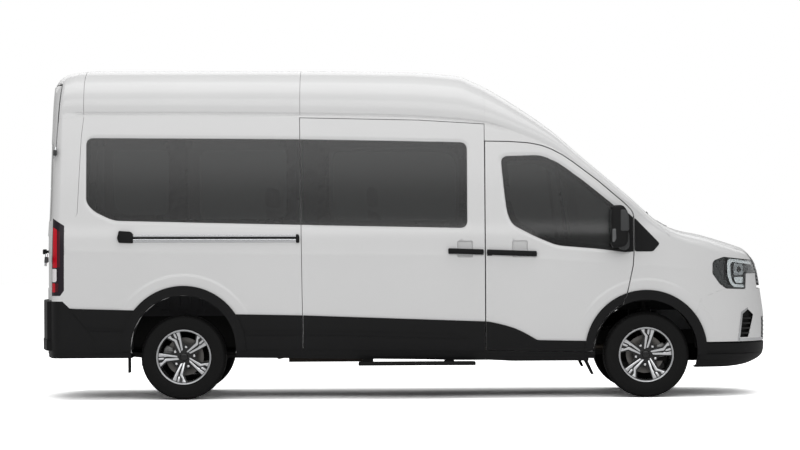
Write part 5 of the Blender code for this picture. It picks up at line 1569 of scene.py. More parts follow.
SPOKE_TURN = {"front": 2.0, "rear": 45.0}
for side, tag in SIDE_NAMES:
    for end, axle_x in (("front", FRONT_AXLE_X), ("rear", REAR_AXLE_X)):
        face_out = Matrix.Rotation(math.pi if side == LEFT else 0.0, 4, "Z")
        spin_by = Matrix.Rotation(math.radians(SPOKE_TURN[end]), 4, "Y")
        place = Matrix.Translation((axle_x, side * WHEEL_Y, TYRE_RADIUS)) @ face_out @ spin_by
        wheel_body = "%s_wheel_%s" % (end, tag)
        for source, node, slot in ((tyre, "tyre_", "tyre_rubber"), (rim, "rim_", "alloy_silver")):
            wheel_piece = moved(source, "%s%s_%s_dressed" % (node, end, tag), place)
            smooth(wheel_piece, 30)
            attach(wheel_piece, wheel_body)
            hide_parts("%s%s_%s" % (node, end, tag))
        # Vented brake disc: cast iron, floating clear of the rim
        disc = turned(
            "disc",
            [
                (0.058, 0.0805), (0.094, 0.0810), (0.096, 0.0525), (0.100, 0.0510), (0.1535, 0.0510),
                (0.1545, 0.0520), (0.1545, 0.0595), (0.1480, 0.0605), (0.1480, 0.0705), (0.1545, 0.0715),
                (0.1545, 0.0810), (0.100, 0.0820), (0.058, 0.0830),
            ],
            96,
        )
        disc.name = "brake_disc_%s_%s" % (end, tag)
        stand = Matrix.Translation((axle_x, side * WHEEL_Y, TYRE_RADIUS)) @ face_out
        disc.data.transform(stand)
        finish_piece(disc, cast_iron, "steered_hub_" + tag if end == "front" else "body")
        # Caliper: aluminium bridge over the disc with two finger ribs
        turn = math.radians(8 if end == "front" else 172)
        y0, y1 = (-(WHEEL_Y - 0.822), WHEEL_Y - 0.738)
        line = [
            (0.098, -0.062),
            (0.158, -0.072),
            (0.176, -0.040),
            (0.178, 0.040),
            (0.158, 0.072),
            (0.098, 0.062),
        ]
        caliper = plate("caliper_%s_%s" % (end, tag), line, "XZ", 0.0395, 0.1150, 0.008, 4)
        slot_cut = box((0.05, 0.0495, -0.2), (0.1575, 0.0835, 0.2))
        carve(caliper, slot_cut)
        for z in (-0.030, 0.030):
            rib = plate(
                "rib",
                [(0.090, z - 0.012), (0.150, z - 0.012), (0.150, z + 0.012), (0.090, z + 0.012)],
                "XZ",
                0.0365,
                0.047,
                0.003,
            )
            caliper = joined(caliper, rib)
        caliper.data.transform(
            Matrix.Translation((axle_x, side * WHEEL_Y, TYRE_RADIUS))
            @ (Matrix.Scale(-1, 4, (0, 1, 0)) if side == LEFT else Matrix.Identity(4))
            @ Matrix.Rotation(-turn, 4, "Y")
        )
        if side == LEFT:
            caliper.data.flip_normals()
        finish_piece(caliper, cast_alloy, "steered_hub_" + tag if end == "front" else "body")
HELPERS += [tyre, rim]

# Headlamps: clear polycarbonate lens over a black bezel, a light-guide ring and a reflector
lamp_deep = body_form("lamp_deep", 0.047, False, 3)
guide_front = body_form("guide_front", 0.013, False, 3)
guide_back = body_form("guide_back", 0.026, False, 3)
HELPERS += [lamp_deep, guide_front, guide_back]
lamp_bulk = carve(twin(band_back, "lamp_bulk"), lamp_deep)
guide_bulk = carve(twin(guide_front, "guide_bulk"), guide_back)
mirror_bulk = carve(twin(guide_back, "mirror_bulk"), lamp_deep)
HELPERS += [lamp_bulk, guide_bulk, mirror_bulk]
clear_lens = speckled(
    "clear_polycarbonate",
    "#E9ECEC",
    {"Roughness": 0.02, "IOR": 1.30, "Transmission Weight": 1.0},
    5.0,
    tone=0.01,
    rough=0.01,
)
light_guide = speckled(
    "frosted_light_guide", "#C4C7C9", {"Roughness": 0.32, "Coat Weight": 0.6}, 1.2, tone=0.05
)
lamp_mirror = speckled(
    "dulled_lamp_reflector", "#8B8D8F", {"Roughness": 0.22, "Metallic": 0.7}, 1.0, tone=0.14, rough=0.08
)
lamp_black = speckled("lamp_bezel_black", "#1B1C1D", {"Roughness": 0.45}, 2.0, tone=0.12)
GUIDE_LINE = rounded(
    [
        (2.846, 1.094), (2.770, 1.105), (2.662, 1.120), (2.640, 1.108), (2.633, 1.082), (2.636, 0.982),
        (2.658, 0.920), (2.689, 0.8895), (2.779, 0.8830), (2.779, 0.9050), (2.697, 0.9115), (2.674, 0.9386),
        (2.662, 0.9947), (2.661, 1.072), (2.674, 1.092), (2.770, 1.080), (2.850, 1.068),
    ],
    0.010,
    3,
)
for side, tag in SIDE_NAMES:
    lens = pressing(
        "headlamp_lens_" + tag, [side_slab(LAMP_LINE, side, GRILLE_HALF + 0.001)], [], pane_skin
    )
    finish_piece(lens, clear_lens, "body")
    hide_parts("headlamp_" + tag)
    hollow = carve(side_slab(grown(LAMP_LINE, -0.007), side, GRILLE_HALF + 0.006), inside_form)
    bowl = pressing(
        "headlamp_bowl_" + tag,
        [side_slab(grown(LAMP_LINE, -0.001), side, GRILLE_HALF + 0.001)],
        [hollow],
        lamp_bulk,
    )
    finish_piece(bowl, lamp_black, "body")
    guide = pressing("light_guide_" + tag, [side_slab(GUIDE_LINE, side, 0.45)], [], guide_bulk)
    finish_piece(guide, light_guide, "body")
    for index, line in enumerate(
        (
            [(2.690, 1.083), (2.772, 1.071), (2.772, 0.984), (2.690, 0.984)],
            [(2.690, 0.969), (2.772, 0.969), (2.772, 0.918), (2.704, 0.922)],
        )
    ):
        cup = pressing(
            "lamp_reflector_%d_%s" % (index, tag),
            [side_slab(rounded(line, 0.012, 3), side, 0.45)],
            [],
            mirror_bulk,
        )
        finish_piece(cup, light_guide if index else lamp_mirror, "body")
    bpy.ops.object.select_all(action="DESELECT")
    bpy.ops.mesh.primitive_uv_sphere_add(segments=32, ring_count=16, radius=0.026)
    lens_ball = bpy.context.active_object
    lens_ball.name = "projector_" + tag
    lens_ball.data.transform(Matrix.Translation((2.728, side * (side_y(2.728, 1.03) - 0.040), 1.030)))
    finish_piece(lens_ball, pocket_black, "body")

# Tail lamps: dark smoked housing with red bars and a clear reversing window
tail_bulk = carve(twin(pane_front, "tail_bulk"), inside_form)
bar_bulk = carve(twin(tail_face, "bar_bulk"), band_back)
HELPERS += [tail_bulk, bar_bulk]
smoked_lens = speckled(
    "smoked_lamp_lens", "#1E161E", {"Roughness": 0.35, "Specular IOR Level": 0.3}, 4.0, tone=0.15
)
red_lens = speckled(
    "red_acrylic_lens", "#C40820", {"Roughness": 0.35, "Specular IOR Level": 0.3}, 2.0, tone=0.12
)
deep_red = speckled(
    "dark_red_acrylic", "#4A0E1A", {"Roughness": 0.35, "Specular IOR Level": 0.3}, 2.0, tone=0.15
)
white_lens = speckled("clear_fluted_lens", "#F2EEF0", {"Roughness": 0.25}, 2.0, tone=0.06)
TAIL_BARS = (
    (red_lens, [(-2.8360, 1.4050), (-2.802, 1.3850), (-2.802, 1.0760), (-2.8410, 1.0760)]),
    (deep_red, [(-2.799, 1.380), (-2.778, 1.370), (-2.778, 1.080), (-2.799, 1.080)]),
    (white_lens, [(-2.8450, 1.0670), (-2.806, 1.0670), (-2.806, 0.970), (-2.816, 0.960), (-2.8450, 0.960)]),
    (red_lens, [(-2.8450, 0.9500), (-2.818, 0.9500), (-2.818, 0.877), (-2.8450, 0.877)]),
    (deep_red, [(-2.814, 0.9500), (-2.790, 0.950), (-2.796, 0.880), (-2.814, 0.877)]),
)
for side, tag in SIDE_NAMES:
    housing = pressing(
        "tail_lamp_housing_" + tag, [side_slab(grown(TAIL_LAMP_LINE, -0.001), side, 0.93)], [], tail_bulk
    )
    finish_piece(housing, smoked_lens, "body")
    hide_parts("tail_lamp_" + tag)
    for index, (finish, line) in enumerate(TAIL_BARS):
        bar = pressing(
            "tail_bar_%d_%s" % (index, tag),
            [
                side_slab(rounded(line, 0.006, 3), side, 0.93),
                side_slab(grown(TAIL_LAMP_LINE, -0.002), side, 0.93),
            ],
            [],
            bar_bulk,
        )
        finish_piece(bar, finish, "body")

# Sliding door rail: two bright extrusions in a black channel, with moulded end caps
rail_back = plate(
    "door_rail_channel",
    [(-2.300, 1.281), (-2.300, 1.338), (-0.846, 1.332), (-0.846, 1.275)],
    "XZ",
    -1.0205,
    -1.004,
    0.002,
)
rail_back = finish_piece(rail_back, black_moulding, "body")
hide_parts("door_rail")
for name, low, high in (("upper", 1.3180, 1.3400), ("lower", 1.2760, 1.3060)):
    line = [(-2.190, low + 0.004), (-2.190, high), (-0.862, high - 0.006), (-0.862, low - 0.002)]
    strip = plate("door_rail_%s_strip" % name, line, "XZ", -1.0300, -1.008, 0.004)
    finish_piece(strip, satin_metal, "body")
for name, line in (
    (
        "rear",
        [
            (-2.314, 1.310),
            (-2.300, 1.373),
            (-2.205, 1.366),
            (-2.183, 1.345),
            (-2.183, 1.272),
            (-2.300, 1.276),
        ],
    ),
    ("front", [(-0.866, 1.268), (-0.866, 1.338), (-0.846, 1.338), (-0.838, 1.320), (-0.838, 1.268)]),
):
    cap_piece = plate("door_rail_cap_" + name, rounded(line, 0.010, 3), "XZ", -1.0360, -1.004, 0.006)
    finish_piece(cap_piece, black_moulding, "body")

# Door pulls: grained bars on two feet over a hollow, one bar split by the shut line
PULLS = (
    ("sliding_pull", RIGHT, "body", 0.366, 0.654),
    ("front_pull_right", RIGHT, "front_door_leaf_right", 0.679, 1.083),
    ("front_pull_left", LEFT, "front_door_leaf_left", 0.679, 1.083),
)
for name, side, body, x0, x1 in PULLS:
    y0, y1 = sorted((side * 1.029, side * 1.0515))
    drop = 0.038
    z0, z1 = 1.232 - drop * x0, 1.232 - drop * x1
    bar = plate(name, [(x0, z0 - 0.044), (x0, z0), (x1, z1), (x1, z1 - 0.044)], "XZ", y0, y1, 0.009, 4)
    y0, y1 = sorted((side * 1.000, side * 1.034))
    for at in (x0 + 0.022, x1 - 0.022):
        foot = block("foot", (at - 0.020, y0, z1 - 0.036), (at + 0.020, y1, z1 - 0.006), 0.004)
        bar = joined(bar, foot)
    finish_piece(bar, black_moulding, body)

# Mirrors: grained shell with a lighter cap, a heated glass facing back and a side repeater
MIRROR_BODY = rounded(
    [
        (1.672, 1.556),
        (1.775, 1.560),
        (1.815, 1.500),
        (1.812, 1.260),
        (1.780, 1.219),
        (1.690, 1.217),
        (1.672, 1.250),
    ],
    0.040,
    6,
)
MIRROR_CAP = rounded(
    [(1.748, 1.528), (1.800, 1.520), (1.818, 1.470), (1.820, 1.350), (1.748, 1.345)], 0.020, 4
)
MIRROR_ARM = rounded(
    [(1.765, 1.338), (1.828, 1.338), (1.830, 1.215), (1.790, 1.190), (1.740, 1.210)], 0.022, 4
)
mirror_glass = speckled(
    "mirror_silvering", "#C8CCCE", {"Roughness": 0.04, "Metallic": 1.0}, 6.0, tone=0.02, rough=0.01
)
repeater_lens = speckled("repeater_lens", "#5A5B5C", {"Roughness": 0.15, "Coat Weight": 1.0}, 2.0)
grey_moulding = speckled(
    "grey_grained_moulding", "#343536", {"Roughness": 0.5}, 1.6, tone=0.12, bump=0.0002
)
for side, tag in SIDE_NAMES:
    leaf = "front_door_leaf_" + tag
    y0, y1 = sorted((side * 1.048, side * 1.232))
    shell = plate("mirror_shell_" + tag, MIRROR_BODY, "XZ", y0, y1, 0.026, 5)
    carve(shell, box((1.60, y0 + 0.014, 1.246), (1.6790, y1 - 0.014, 1.530)))
    y0, y1 = sorted((side * 1.075, side * 1.238))
    cap_piece = plate("mirror_cap", MIRROR_CAP, "XZ", y0, y1, 0.014, 4)
    y0, y1 = sorted((side * 0.995, side * 1.110))
    arm = plate("mirror_arm", MIRROR_ARM, "XZ", y0, y1, 0.010, 4)
    coloured(shell, black_moulding)
    coloured(cap_piece, grey_moulding)
    coloured(arm, grey_moulding)
    y0, y1 = sorted((side * 1.225, side * 1.2350))
    repeater = plate(
        "repeater",
        rounded([(1.684, 1.366), (1.712, 1.370), (1.716, 1.290), (1.700, 1.262), (1.684, 1.262)], 0.008, 3),
        "XZ",
        y0,
        y1,
        0.003,
    )
    coloured(repeater, repeater_lens)
    shell = joined(shell, cap_piece, arm, repeater)
    smooth(shell)
    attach(shell, leaf)
    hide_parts("mirror_" + tag)
    y0, y1 = sorted((side * 1.066, side * 1.214))
    face = plate(
        "mirror_glass_" + tag,
        rounded([(y0, 1.250), (y1, 1.250), (y1, 1.526), (y0, 1.526)], 0.030, 5),
        "YZ",
        1.6760,
        1.6795,
        0.001,
    )
    finish_piece(face, mirror_glass, leaf)

# Black covers where the window line runs on to the wing, and the window's divider bar
SAIL_LINE = rounded([(1.8755, 1.4585), (2.079, 1.246), (2.024, 1.1824), (1.8755, 1.1824)], 0.018, 4)
SAIL_DOOR_LINE = [(1.795, 1.520), (1.8655, 1.4585), (1.8655, 1.1824), (1.795, 1.1780)]
for side, tag in SIDE_NAMES:
    wing_cover = pressing("wing_cover_" + tag, [side_slab(SAIL_LINE, side, 0.5)], [], sill_skin)
    finish_piece(wing_cover, black_moulding, "body")
    door_cover = pressing(
        "door_cover_" + tag,
        [side_slab(SAIL_DOOR_LINE, side, 0.5), side_slab(FRONT_DOOR_LINE, side)],
        [],
        sill_skin,
    )
    finish_piece(door_cover, black_moulding, "front_door_leaf_" + tag)
    divider = pressing(
        "window_divider_" + tag,
        [
            side_slab([(1.228, 1.915), (1.260, 1.900), (1.348, 1.250), (1.318, 1.250)], side, 0.5),
            side_slab(grown(FRONT_WINDOW_LINE, -0.004), side),
        ],
        [],
        band_skin,
    )
    finish_piece(divider, black_abs, "front_door_leaf_" + tag)

# Wipers and scuttle: two arms with flat blades that lie along the foot of the windscreen
for index, (foot_y, tip_y) in enumerate(((-0.10, -0.66), (0.58, 0.02))):
    blade = [(2.062, foot_y + 0.02), (2.050, foot_y + 0.02), (1.992, tip_y), (2.004, tip_y)]
    arm = [
        (2.118, foot_y + 0.030),
        (2.100, foot_y + 0.045),
        (2.022, (foot_y + tip_y) / 2),
        (2.036, (foot_y + tip_y) / 2),
    ]
    for name, line in (("blade", blade), ("arm", arm)):
        strip = pressing(
            "wiper_%s_%d" % (name, index), [slab(line, "XY", 1.30, 2.60)], [bonnet_region], clad_skin
        )
        finish_piece(strip, black_abs, "body")
scuttle_line = [(2.085, -0.60), (2.1645, -0.60), (2.1645, 0.60), (2.085, 0.60)]
scuttle_skin = carve(twin(sill_front, "scuttle_skin"), band_back)
HELPERS.append(scuttle_skin)
scuttle = pressing(
    "scuttle", [slab(scuttle_line, "XY", 1.30, 1.60)], [screen_seat, bonnet_region], scuttle_skin
)
finish_piece(scuttle, black_moulding, "body")

# Rear door hinges: bright pins, with grey barrels and arms on the leaves; bar handle and blank plate
for side, tag in SIDE_NAMES:
    axis = Vector(
        (REAR_HINGE_HEAD[0] - REAR_HINGE_FOOT[0], side * (REAR_HINGE_HEAD[1] - REAR_HINGE_FOOT[1]), 0.897)
    )
    axis.normalize()
    foot = Vector((REAR_HINGE_FOOT[0], side * REAR_HINGE_FOOT[1], REAR_HINGE_FOOT[2]))
    for index, share in enumerate((0.02, 0.99)):
        at = foot + axis * share * 0.90
        pin = rod(
            "rear_hinge_pin_%d_%s" % (index, tag), at - axis * 0.050, at + axis * 0.050, 0.010, 24, 0.002
        )
        finish_piece(pin, satin_metal, "body")
        knuckle = rod(
            "rear_hinge_barrel_%d_%s" % (index, tag),
            at - axis * 0.024,
            at + axis * 0.024,
            0.0135,
            24,
            0.002,
        )
        finish_piece(knuckle, grey_moulding, "rear_door_leaf_" + tag)
        near, far = sorted((side * 0.900, side * 1.043))
        arm = block(
            "rear_hinge_arm_%d_%s" % (index, tag),
            (at.x - 0.013, near - side * 0.06 * share, at.z - 0.022),
            (at.x + 0.008, far - side * 0.06 * share, at.z + 0.022),
            0.005,
        )
        finish_piece(arm, grey_moulding, "rear_door_leaf_" + tag)

pull = block("rear_pull", (-2.9900, -0.230, 1.180), (-2.9700, -0.050, 1.222), 0.008, 4)
for y in (-0.215, -0.075):
    pull = joined(pull, block("foot", (-2.976, y - 0.012, 1.190), (-2.950, y + 0.012, 1.212), 0.003))
finish_piece(pull, black_moulding, "rear_door_leaf_right")
blank = block("blank_plate", (-2.9590, 0.130, 1.060), (-2.9520, 0.650, 1.170), 0.002)
plate_white = speckled("painted_plate_blank", "#E6E6E2", {"Roughness": 0.35}, 3.0, tone=0.02)
finish_piece(blank, plate_white, "rear_door_leaf_left")

# Side step: five grained black tread ribs on a dark bar, hung on two brackets
step_bar = block("side_step_bar", (-0.366, -1.0545, 0.2705), (0.584, -0.905, 0.2995), 0.008, 3)
coloured(step_bar, underseal)
pads = []
for index in range(5):
    pads.append(
        coloured(
            block(
                "tread",
                (-0.350, -1.045 + index * 0.027, 0.2980),
                (0.568, -1.033 + index * 0.027, 0.3015),
                0.0012,
                2,
            ),
            black_moulding,
        )
    )
for x in (-0.330, 0.330):
    pads.append(
        coloured(block("bracket", (x, -0.966, 0.288), (x + 0.080, -0.920, 0.3590), 0.006, 2), underseal)
    )
step_bar = joined(step_bar, *pads)
smooth(step_bar)
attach(step_bar, "body")
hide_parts("side_step")

# Wheel-house liners: pressed grey felt and black sheet behind each arch, with ribs; rubber flaps
liner_grey = speckled("pressed_felt_liner", "#38383A", {"Roughness": 0.85}, 2.5, tone=0.2, bump=0.0004)
for side, tag in SIDE_NAMES:
    for end, arch, radius, start, end_at in (
        ("rear", REAR_ARCH, REAR_ARCH_RADIUS, -3.0, 183.0),
        ("front", FRONT_ARCH, FRONT_ARCH_RADIUS, 2.0, 176.0),
    ):
        outline = arc_points(
            arch, radius + 0.0048, start, end_at, 60
        ) + arc_points(arch, radius + 0.0012, end_at, start, 60)
        y0, y1 = sorted((side * 0.622, side * 0.950))
        liner = plate("%s_liner_%s" % (end, tag), outline, "XZ", y0, y1)
        finish_piece(liner, liner_grey if end == "rear" else black_moulding, "body")
    y0, y1 = sorted((side * 0.636, side * 0.642))
    wall_line = arc_points(REAR_ARCH, REAR_ARCH_RADIUS + 0.003, 35.5, 144.5, 30)
    wall = plate("rear_inner_wall_" + tag, wall_line, "XZ", y0, y1)
    for x in (-1.949, -1.800, -1.654):
        pad_line = rounded(
            [(x - 0.036, 0.698), (x + 0.036, 0.698), (x + 0.036, 0.726), (x - 0.036, 0.726)], 0.014, 5
        )
        y0, y1 = sorted((side * 0.638, side * 0.652))
        wall = joined(wall, plate("pad", pad_line, "XZ", y0, y1, 0.004))
    for x in (-2.02, -1.925, -1.835, -1.745, -1.655, -1.56):
        y0, y1 = sorted((side * 0.638, side * 0.650))
        rib_top = REAR_ARCH[1] + math.sqrt(REAR_ARCH_RADIUS**2 - (x - REAR_ARCH[0]) ** 2)
        wall = joined(
            wall, block("rib", (x - 0.012, y0, 0.752), (x + 0.012, y1, max(rib_top, 0.770)), 0.004)
        )
    finish_piece(wall, liner_grey, "body")
    y0, y1 = sorted((side * 0.524, side * 0.530))
    front_wall = plate(
        "front_inner_wall_" + tag,
        arc_points(FRONT_ARCH, FRONT_ARCH_RADIUS + 0.003, 50.0, 130.0, 30),
        "XZ",
        y0,
        y1,
    )
    finish_piece(front_wall, black_moulding, "body")
    y0, y1 = sorted((side * 0.790, side * 0.940))
    flap_line = [(1.450, 0.330), (1.480, 0.330), (1.544, 0.190), (1.524, 0.186)]
    flap = plate("front_flap_" + tag, flap_line, "XZ", y0, y1, 0.002)
    finish_piece(flap, tyre_rubber, "body")

# Seats: woven cloth over foam, each place a crowned cushion, a bolstered back and a head restraint.
# One place is modelled, swelled by cloth simulation, and copied; frames under them are painted steel.
seat_cloth = speckled(
    "woven_seat_cloth", "#3A3B3E", {"Roughness": 0.92, "Sheen Weight": 0.3}, 1.4, tone=0.22, bump=0.0003
)
seat_frame = speckled("black_powder_coat", "#1A1A1B", {"Roughness": 0.45}, 1.0, tone=0.12, bump=0.0001)
CUSHION = ((0.045, -0.205, 0.030), (0.462, 0.205, 0.124))
SEAT_BACK_LINE = [(0.076, 0.130), (-0.062, 0.640), (-0.132, 0.640), (-0.010, 0.120)]


def padding(piece, cap):
    mesh_step = piece.modifiers.new("mesh", "REMESH")
    mesh_step.mode = "VOXEL"
    mesh_step.voxel_size = 0.012
    apply_all(piece)
    start = [vertex.co.copy() for vertex in piece.data.vertices]
    take(piece)
    cloth = piece.modifiers.new("cloth", "CLOTH")
    cloth.settings.use_pressure = True
    cloth.settings.uniform_pressure_force = 4.0
    cloth.settings.effector_weights.gravity = 0.0
    for frame_number in range(1, 21):
        bpy.context.scene.frame_set(frame_number)
    shaped = piece.evaluated_get(bpy.context.evaluated_depsgraph_get())
    moved_to = [vertex.co.copy() for vertex in shaped.data.vertices]
    piece.modifiers.remove(cloth)
    bpy.context.scene.frame_set(1)
    for vertex, before, after in zip(piece.data.vertices, start, moved_to):
        step = after - before
        vertex.co = before + step * min(1.0, cap / max(step.length, 0.00001))
    easing = piece.modifiers.new("ease", "SMOOTH")
    easing.iterations = 4
    apply_all(piece)
    return piece


def channels(piece, lines, depth, across):
    """Sew shallow channels across a padded piece."""
    for vertex in piece.data.vertices:
        for at in lines:
            pull_in = depth * math.exp(-(((vertex.co[across] - at) / 0.006) ** 2))
            vertex.co -= vertex.normal * pull_in
    return piece


(x0, y0, z0), (x1, y1, z1) = CUSHION
cushion = plate(
    "seat_cushion", rounded([(x0, y0), (x1, y0), (x1, y1), (x0, y1)], 0.06, 5), "XY", z0, z1, 0.020, 3
)
padding(cushion, 0.012)
channels(cushion, (-0.120, 0.120), 0.007, 1)
back = plate("seat_back", rounded(SEAT_BACK_LINE, 0.030, 4), "XZ", -0.205, 0.205, 0.022, 3)
padding(back, 0.012)
channels(back, (-0.120, 0.120), 0.007, 1)
head = plate(
    "seat_head",
    rounded([(-0.060, 0.668), (-0.075, 0.836), (-0.135, 0.836), (-0.140, 0.668)], 0.030, 4),
    "XZ",
    -0.115,
    0.115,
    0.024,
    3,
)
padding(head, 0.006)
for piece in (cushion, back, head):
    coloured(piece, seat_cloth)
posts = [
    coloured(
        rod("post", (-0.098, y, 0.610), (-0.104, y, 0.690), 0.007, 16), satin_metal
    ) for y in (-0.05, 0.05)
]
shell_line = [
    (0.010, 0.100),
    (-0.125, 0.640),
    (-0.140, 0.640),
    (-0.030, 0.060),
    (0.460, 0.004),
    (0.460, 0.026),
    (0.060, 0.040),
]
shell = coloured(plate("seat_shell", shell_line, "XZ", -0.200, 0.200, 0.004, 2), seat_frame)
hard = joined(shell, *posts)
SEAT_PLACES = []
for at_x in (-2.560, -1.780, -0.980, -0.150):
    SEAT_PLACES += [("passenger", at_x, y, 0.890) for y in (-0.655, 0.205, 0.655)]
SEAT_PLACES += [("cab", 0.800, y, 0.900) for y in (-0.600, -0.160, 0.480)]
cabin_hard = {"passenger": [], "cab": []}
for index, (group, at_x, at_y, at_z) in enumerate(SEAT_PLACES):
    place = Matrix.Translation((at_x, at_y, at_z))
    for source, fill in ((cushion, 0.8), (back, 0.8), (head, 0.9)):
        pad = moved(source, "%s_%s_%d" % (group, source.name, index), place)
        smooth(pad, 60)
        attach(pad, "body")
    cabin_hard[group].append(moved(hard, "shell", place))
HELPERS += [cushion, back, head, hard]
for at_x in (-2.560, -1.780, -0.980, -0.150):
    for low, high in ((0.360, 0.500), (-0.500, -0.360)):
        for x in (at_x + 0.070, at_x + 0.370):
            leg = block("leg", (x - 0.020, low + 0.030, 0.562), (x + 0.020, high - 0.030, 0.900), 0.006, 2)
            cabin_hard["passenger"].append(coloured(leg, seat_frame))
        tie = block(
            "tie", (at_x + 0.050, min(low, high), 0.868), (at_x + 0.400, max(low, high), 0.896), 0.006, 2
        )
        cabin_hard["passenger"].append(coloured(tie, seat_frame))
for y in (-0.400, 0.400):
    track = block("track", (-2.600, y - 0.020, 0.5405), (0.300, y + 0.020, 0.5650), 0.004, 2)
    cabin_hard["passenger"].append(coloured(track, satin_metal))
for low, high in ((-0.790, 0.030), (0.260, 0.700)):
    plinth = block("plinth", (0.850, low, 0.5405), (1.235, high, 0.900), 0.020, 3)
    cabin_hard["cab"].append(coloured(plinth, seat_frame))
for group, parts in cabin_hard.items():
    base = joined(*parts)
    base.name = group + "_seat_frames"
    smooth(base)
    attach(base, "body")
    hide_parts(group + "_seats")

# Dashboard: grained two-tone moulding with a binnacle, screen, vents and a glovebox line
dash_dark = speckled("grained_dash_moulding", "#232325", {"Roughness": 0.6}, 1.8, tone=0.14, bump=0.00025)
dash_line = rounded(
    [
        (1.520, 0.905), (1.462, 1.155), (1.540, 1.275), (1.700, 1.325), (1.935, 1.380), (2.015, 1.380),
        (2.015, 1.3010), (1.795, 1.3010), (1.795, 1.045), (1.640, 0.905),
    ],
    0.025,
    4,
)
dash = plate("dashboard_moulding", dash_line, "XZ", -0.855, 0.855, 0.012, 3)
for y0, y1, z0, z1 in ((-0.660, -0.160, 0.960, 1.110), (-0.060, 0.200, 1.000, 1.140)):
    carve(dash, box((1.40, y0, z0), (1.486, y1, z1)))
coloured(dash, dash_dark)
binnacle_line = rounded(
    [(1.500, 1.225), (1.530, 1.345), (1.640, 1.365), (1.720, 1.330), (1.700, 1.290)], 0.020, 4
)
extras = [coloured(plate("binnacle", binnacle_line, "XZ", 0.310, 0.650, 0.016, 3), dash_dark)]
screen_tilt = [(1.492, 1.170), (1.528, 1.320), (1.542, 1.318), (1.506, 1.166)]
extras.append(coloured(plate("screen", screen_tilt, "XZ", -0.040, 0.180, 0.003, 2), black_abs))
for y in (-0.760, -0.120, 0.250, 0.760):
    for row in range(4):
        z = 1.175 + row * 0.016
        x = 1.468 + (z - 1.155) * 0.62
        extras.append(
            coloured(
                block("vane", (x - 0.010, y - 0.050, z), (x + 0.016, y + 0.050, z + 0.006), 0.002, 2),
                black_abs,
            )
        )
dash = joined(dash, *extras)
smooth(dash)
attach(dash, "body")
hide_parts("dashboard")

# Steering wheel: stitched leather rim on three spokes, one of them bright metal, with a plain hub pad
wheel_leather = speckled(
    "stitched_wheel_leather", "#19191A", {"Roughness": 0.48}, 1.2, tone=0.16, bump=0.0002
)
ring = [
    (0.185 + 0.0155 * math.cos(a), 0.0155 * math.sin(a)) for a in [math.radians(30 * k) for k in range(12)]
]
wheel_ring = coloured(turned("steering_wheel_rim", ring, 72), wheel_leather)
pad_line = rounded(
    [(-0.075, 0.045), (0.075, 0.045), (0.090, -0.010), (0.040, -0.080), (-0.040, -0.080), (-0.090, -0.010)],
    0.025,
    5,
)
wheel_parts = [coloured(plate("hub_pad", pad_line, "XZ", -0.022, 0.028, 0.010, 3), dash_dark)]
for line in (
    [(0.070, 0.026), (0.180, 0.030), (0.180, -0.012), (0.080, -0.016)],
    [(-0.070, 0.026), (-0.180, 0.030), (-0.180, -0.012), (-0.080, -0.016)],
    [(-0.034, -0.070), (-0.024, -0.180), (0.024, -0.180), (0.034, -0.070)],
):
    wheel_parts.append(
        coloured(
            plate("spoke", line, "XZ", -0.008, 0.010, 0.005, 3),
            satin_metal if len(wheel_parts) == 3 else dash_dark,
        )
    )
wheel_parts.append(coloured(rod("column", (0, 0.020, 0), (0, 0.155, 0), 0.030, 32, 0.004), dash_dark))
wheel_ring = joined(wheel_ring, *wheel_parts)
wheel_ring.data.transform(
    Matrix.Translation((1.330, 0.480, 1.250))
    @ Matrix.Rotation(math.radians(24), 4, "Y")
    @ Matrix.Rotation(math.radians(-90), 4, "Z")
)
smooth(wheel_ring)
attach(wheel_ring, "body")
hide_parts("steering_wheel")

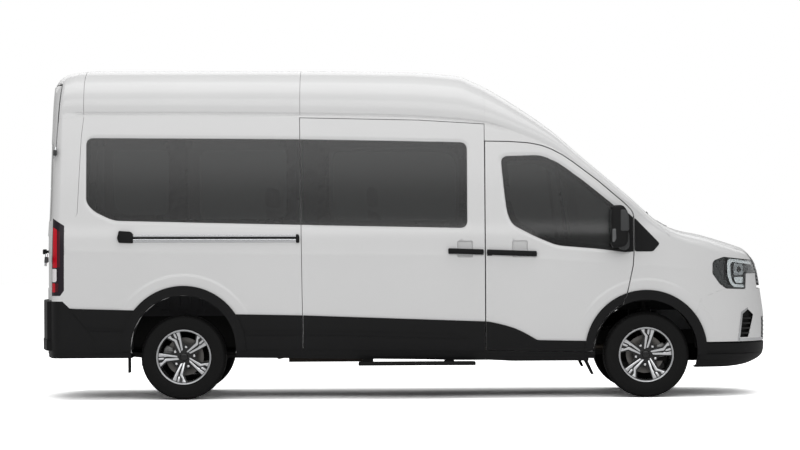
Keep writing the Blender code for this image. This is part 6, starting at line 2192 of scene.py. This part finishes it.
# Cabin linings: pale headliner and grey trim panels, clipped to the inner frames
headliner = speckled("needled_headliner", "#B9B7B2", {"Roughness": 0.95}, 2.0, tone=0.08, bump=0.0003)
trim_grey = speckled("grey_trim_board", "#6C6C6B", {"Roughness": 0.75}, 2.0, tone=0.10, bump=0.0002)
lining_out = body_form("lining_out", 0.0615, False, 3)
lining_in = body_form("lining_in", 0.0655, False, 3)
HELPERS += [lining_out, lining_in]
lining = carve(twin(lining_out, "lining"), lining_in)
HELPERS.append(lining)
liner_top = pressing("headliner", [box((-2.760, -1.2, 2.300), (0.640, 1.2, 2.9))], [], lining)
finish_piece(liner_top, headliner, "body")
for side, tag in SIDE_NAMES:
    cuts = [side_slab(grown(line, 0.004), side) for line in (*REAR_PANE_OPENINGS, SLIDING_PANE_OPENING)]
    keep = side_slab([(-2.560, 0.560), (-0.850, 0.560), (-0.850, 2.290), (-2.560, 2.290)], side)
    wheel_room = side_slab(arc_points(REAR_ARCH, REAR_ARCH_RADIUS + 0.030, 0, 355, 40), side, 0.3, 1.3)
    board = pressing("side_trim_" + tag, [keep], [*cuts, wheel_room], lining)
    finish_piece(board, trim_grey, "body")
floor_mat = block("floor_mat", (-2.660, -0.340, 0.5405), (0.540, 0.340, 0.5460), 0.001, 2)
finish_piece(floor_mat, dash_dark, "body")

# CAD pieces that keep their own shape: underbody steel, castings and the spare tyre under the tail
road_iron = speckled(
    "road_worn_cast_iron", "#242322", {"Roughness": 0.70, "Metallic": 0.3}, 3.0, tone=0.25, bump=0.0003
)
engine_alloy = speckled(
    "sand_cast_engine_alloy", "#77787A", {"Roughness": 0.55, "Metallic": 0.5}, 2.0, tone=0.2, bump=0.0004
)
exhaust_steel = speckled(
    "heat_stained_exhaust_steel", "#5B544D", {"Roughness": 0.45, "Metallic": 0.7}, 6.0, tone=0.25
)
KEPT = (
    ("floor", underseal),
    ("front_suspension", road_iron),
    ("rear_axle", road_iron),
    ("knuckle_right", road_iron),
    ("knuckle_left", road_iron),
    ("engine", engine_alloy),
    ("exhaust", exhaust_steel),
    ("spare_wheel", tyre_rubber),
)
for node, finish in KEPT:
    kept = frame["nodes"][node]
    for place in range(len(kept.material_slots)):
        kept.material_slots[place].material = finish

for helper in set(HELPERS):
    bpy.data.objects.remove(helper)
for piece in list(shelf.objects):
    shelf.objects.unlink(piece)
    bench.objects.link(piece)
bpy.data.collections.remove(shelf)
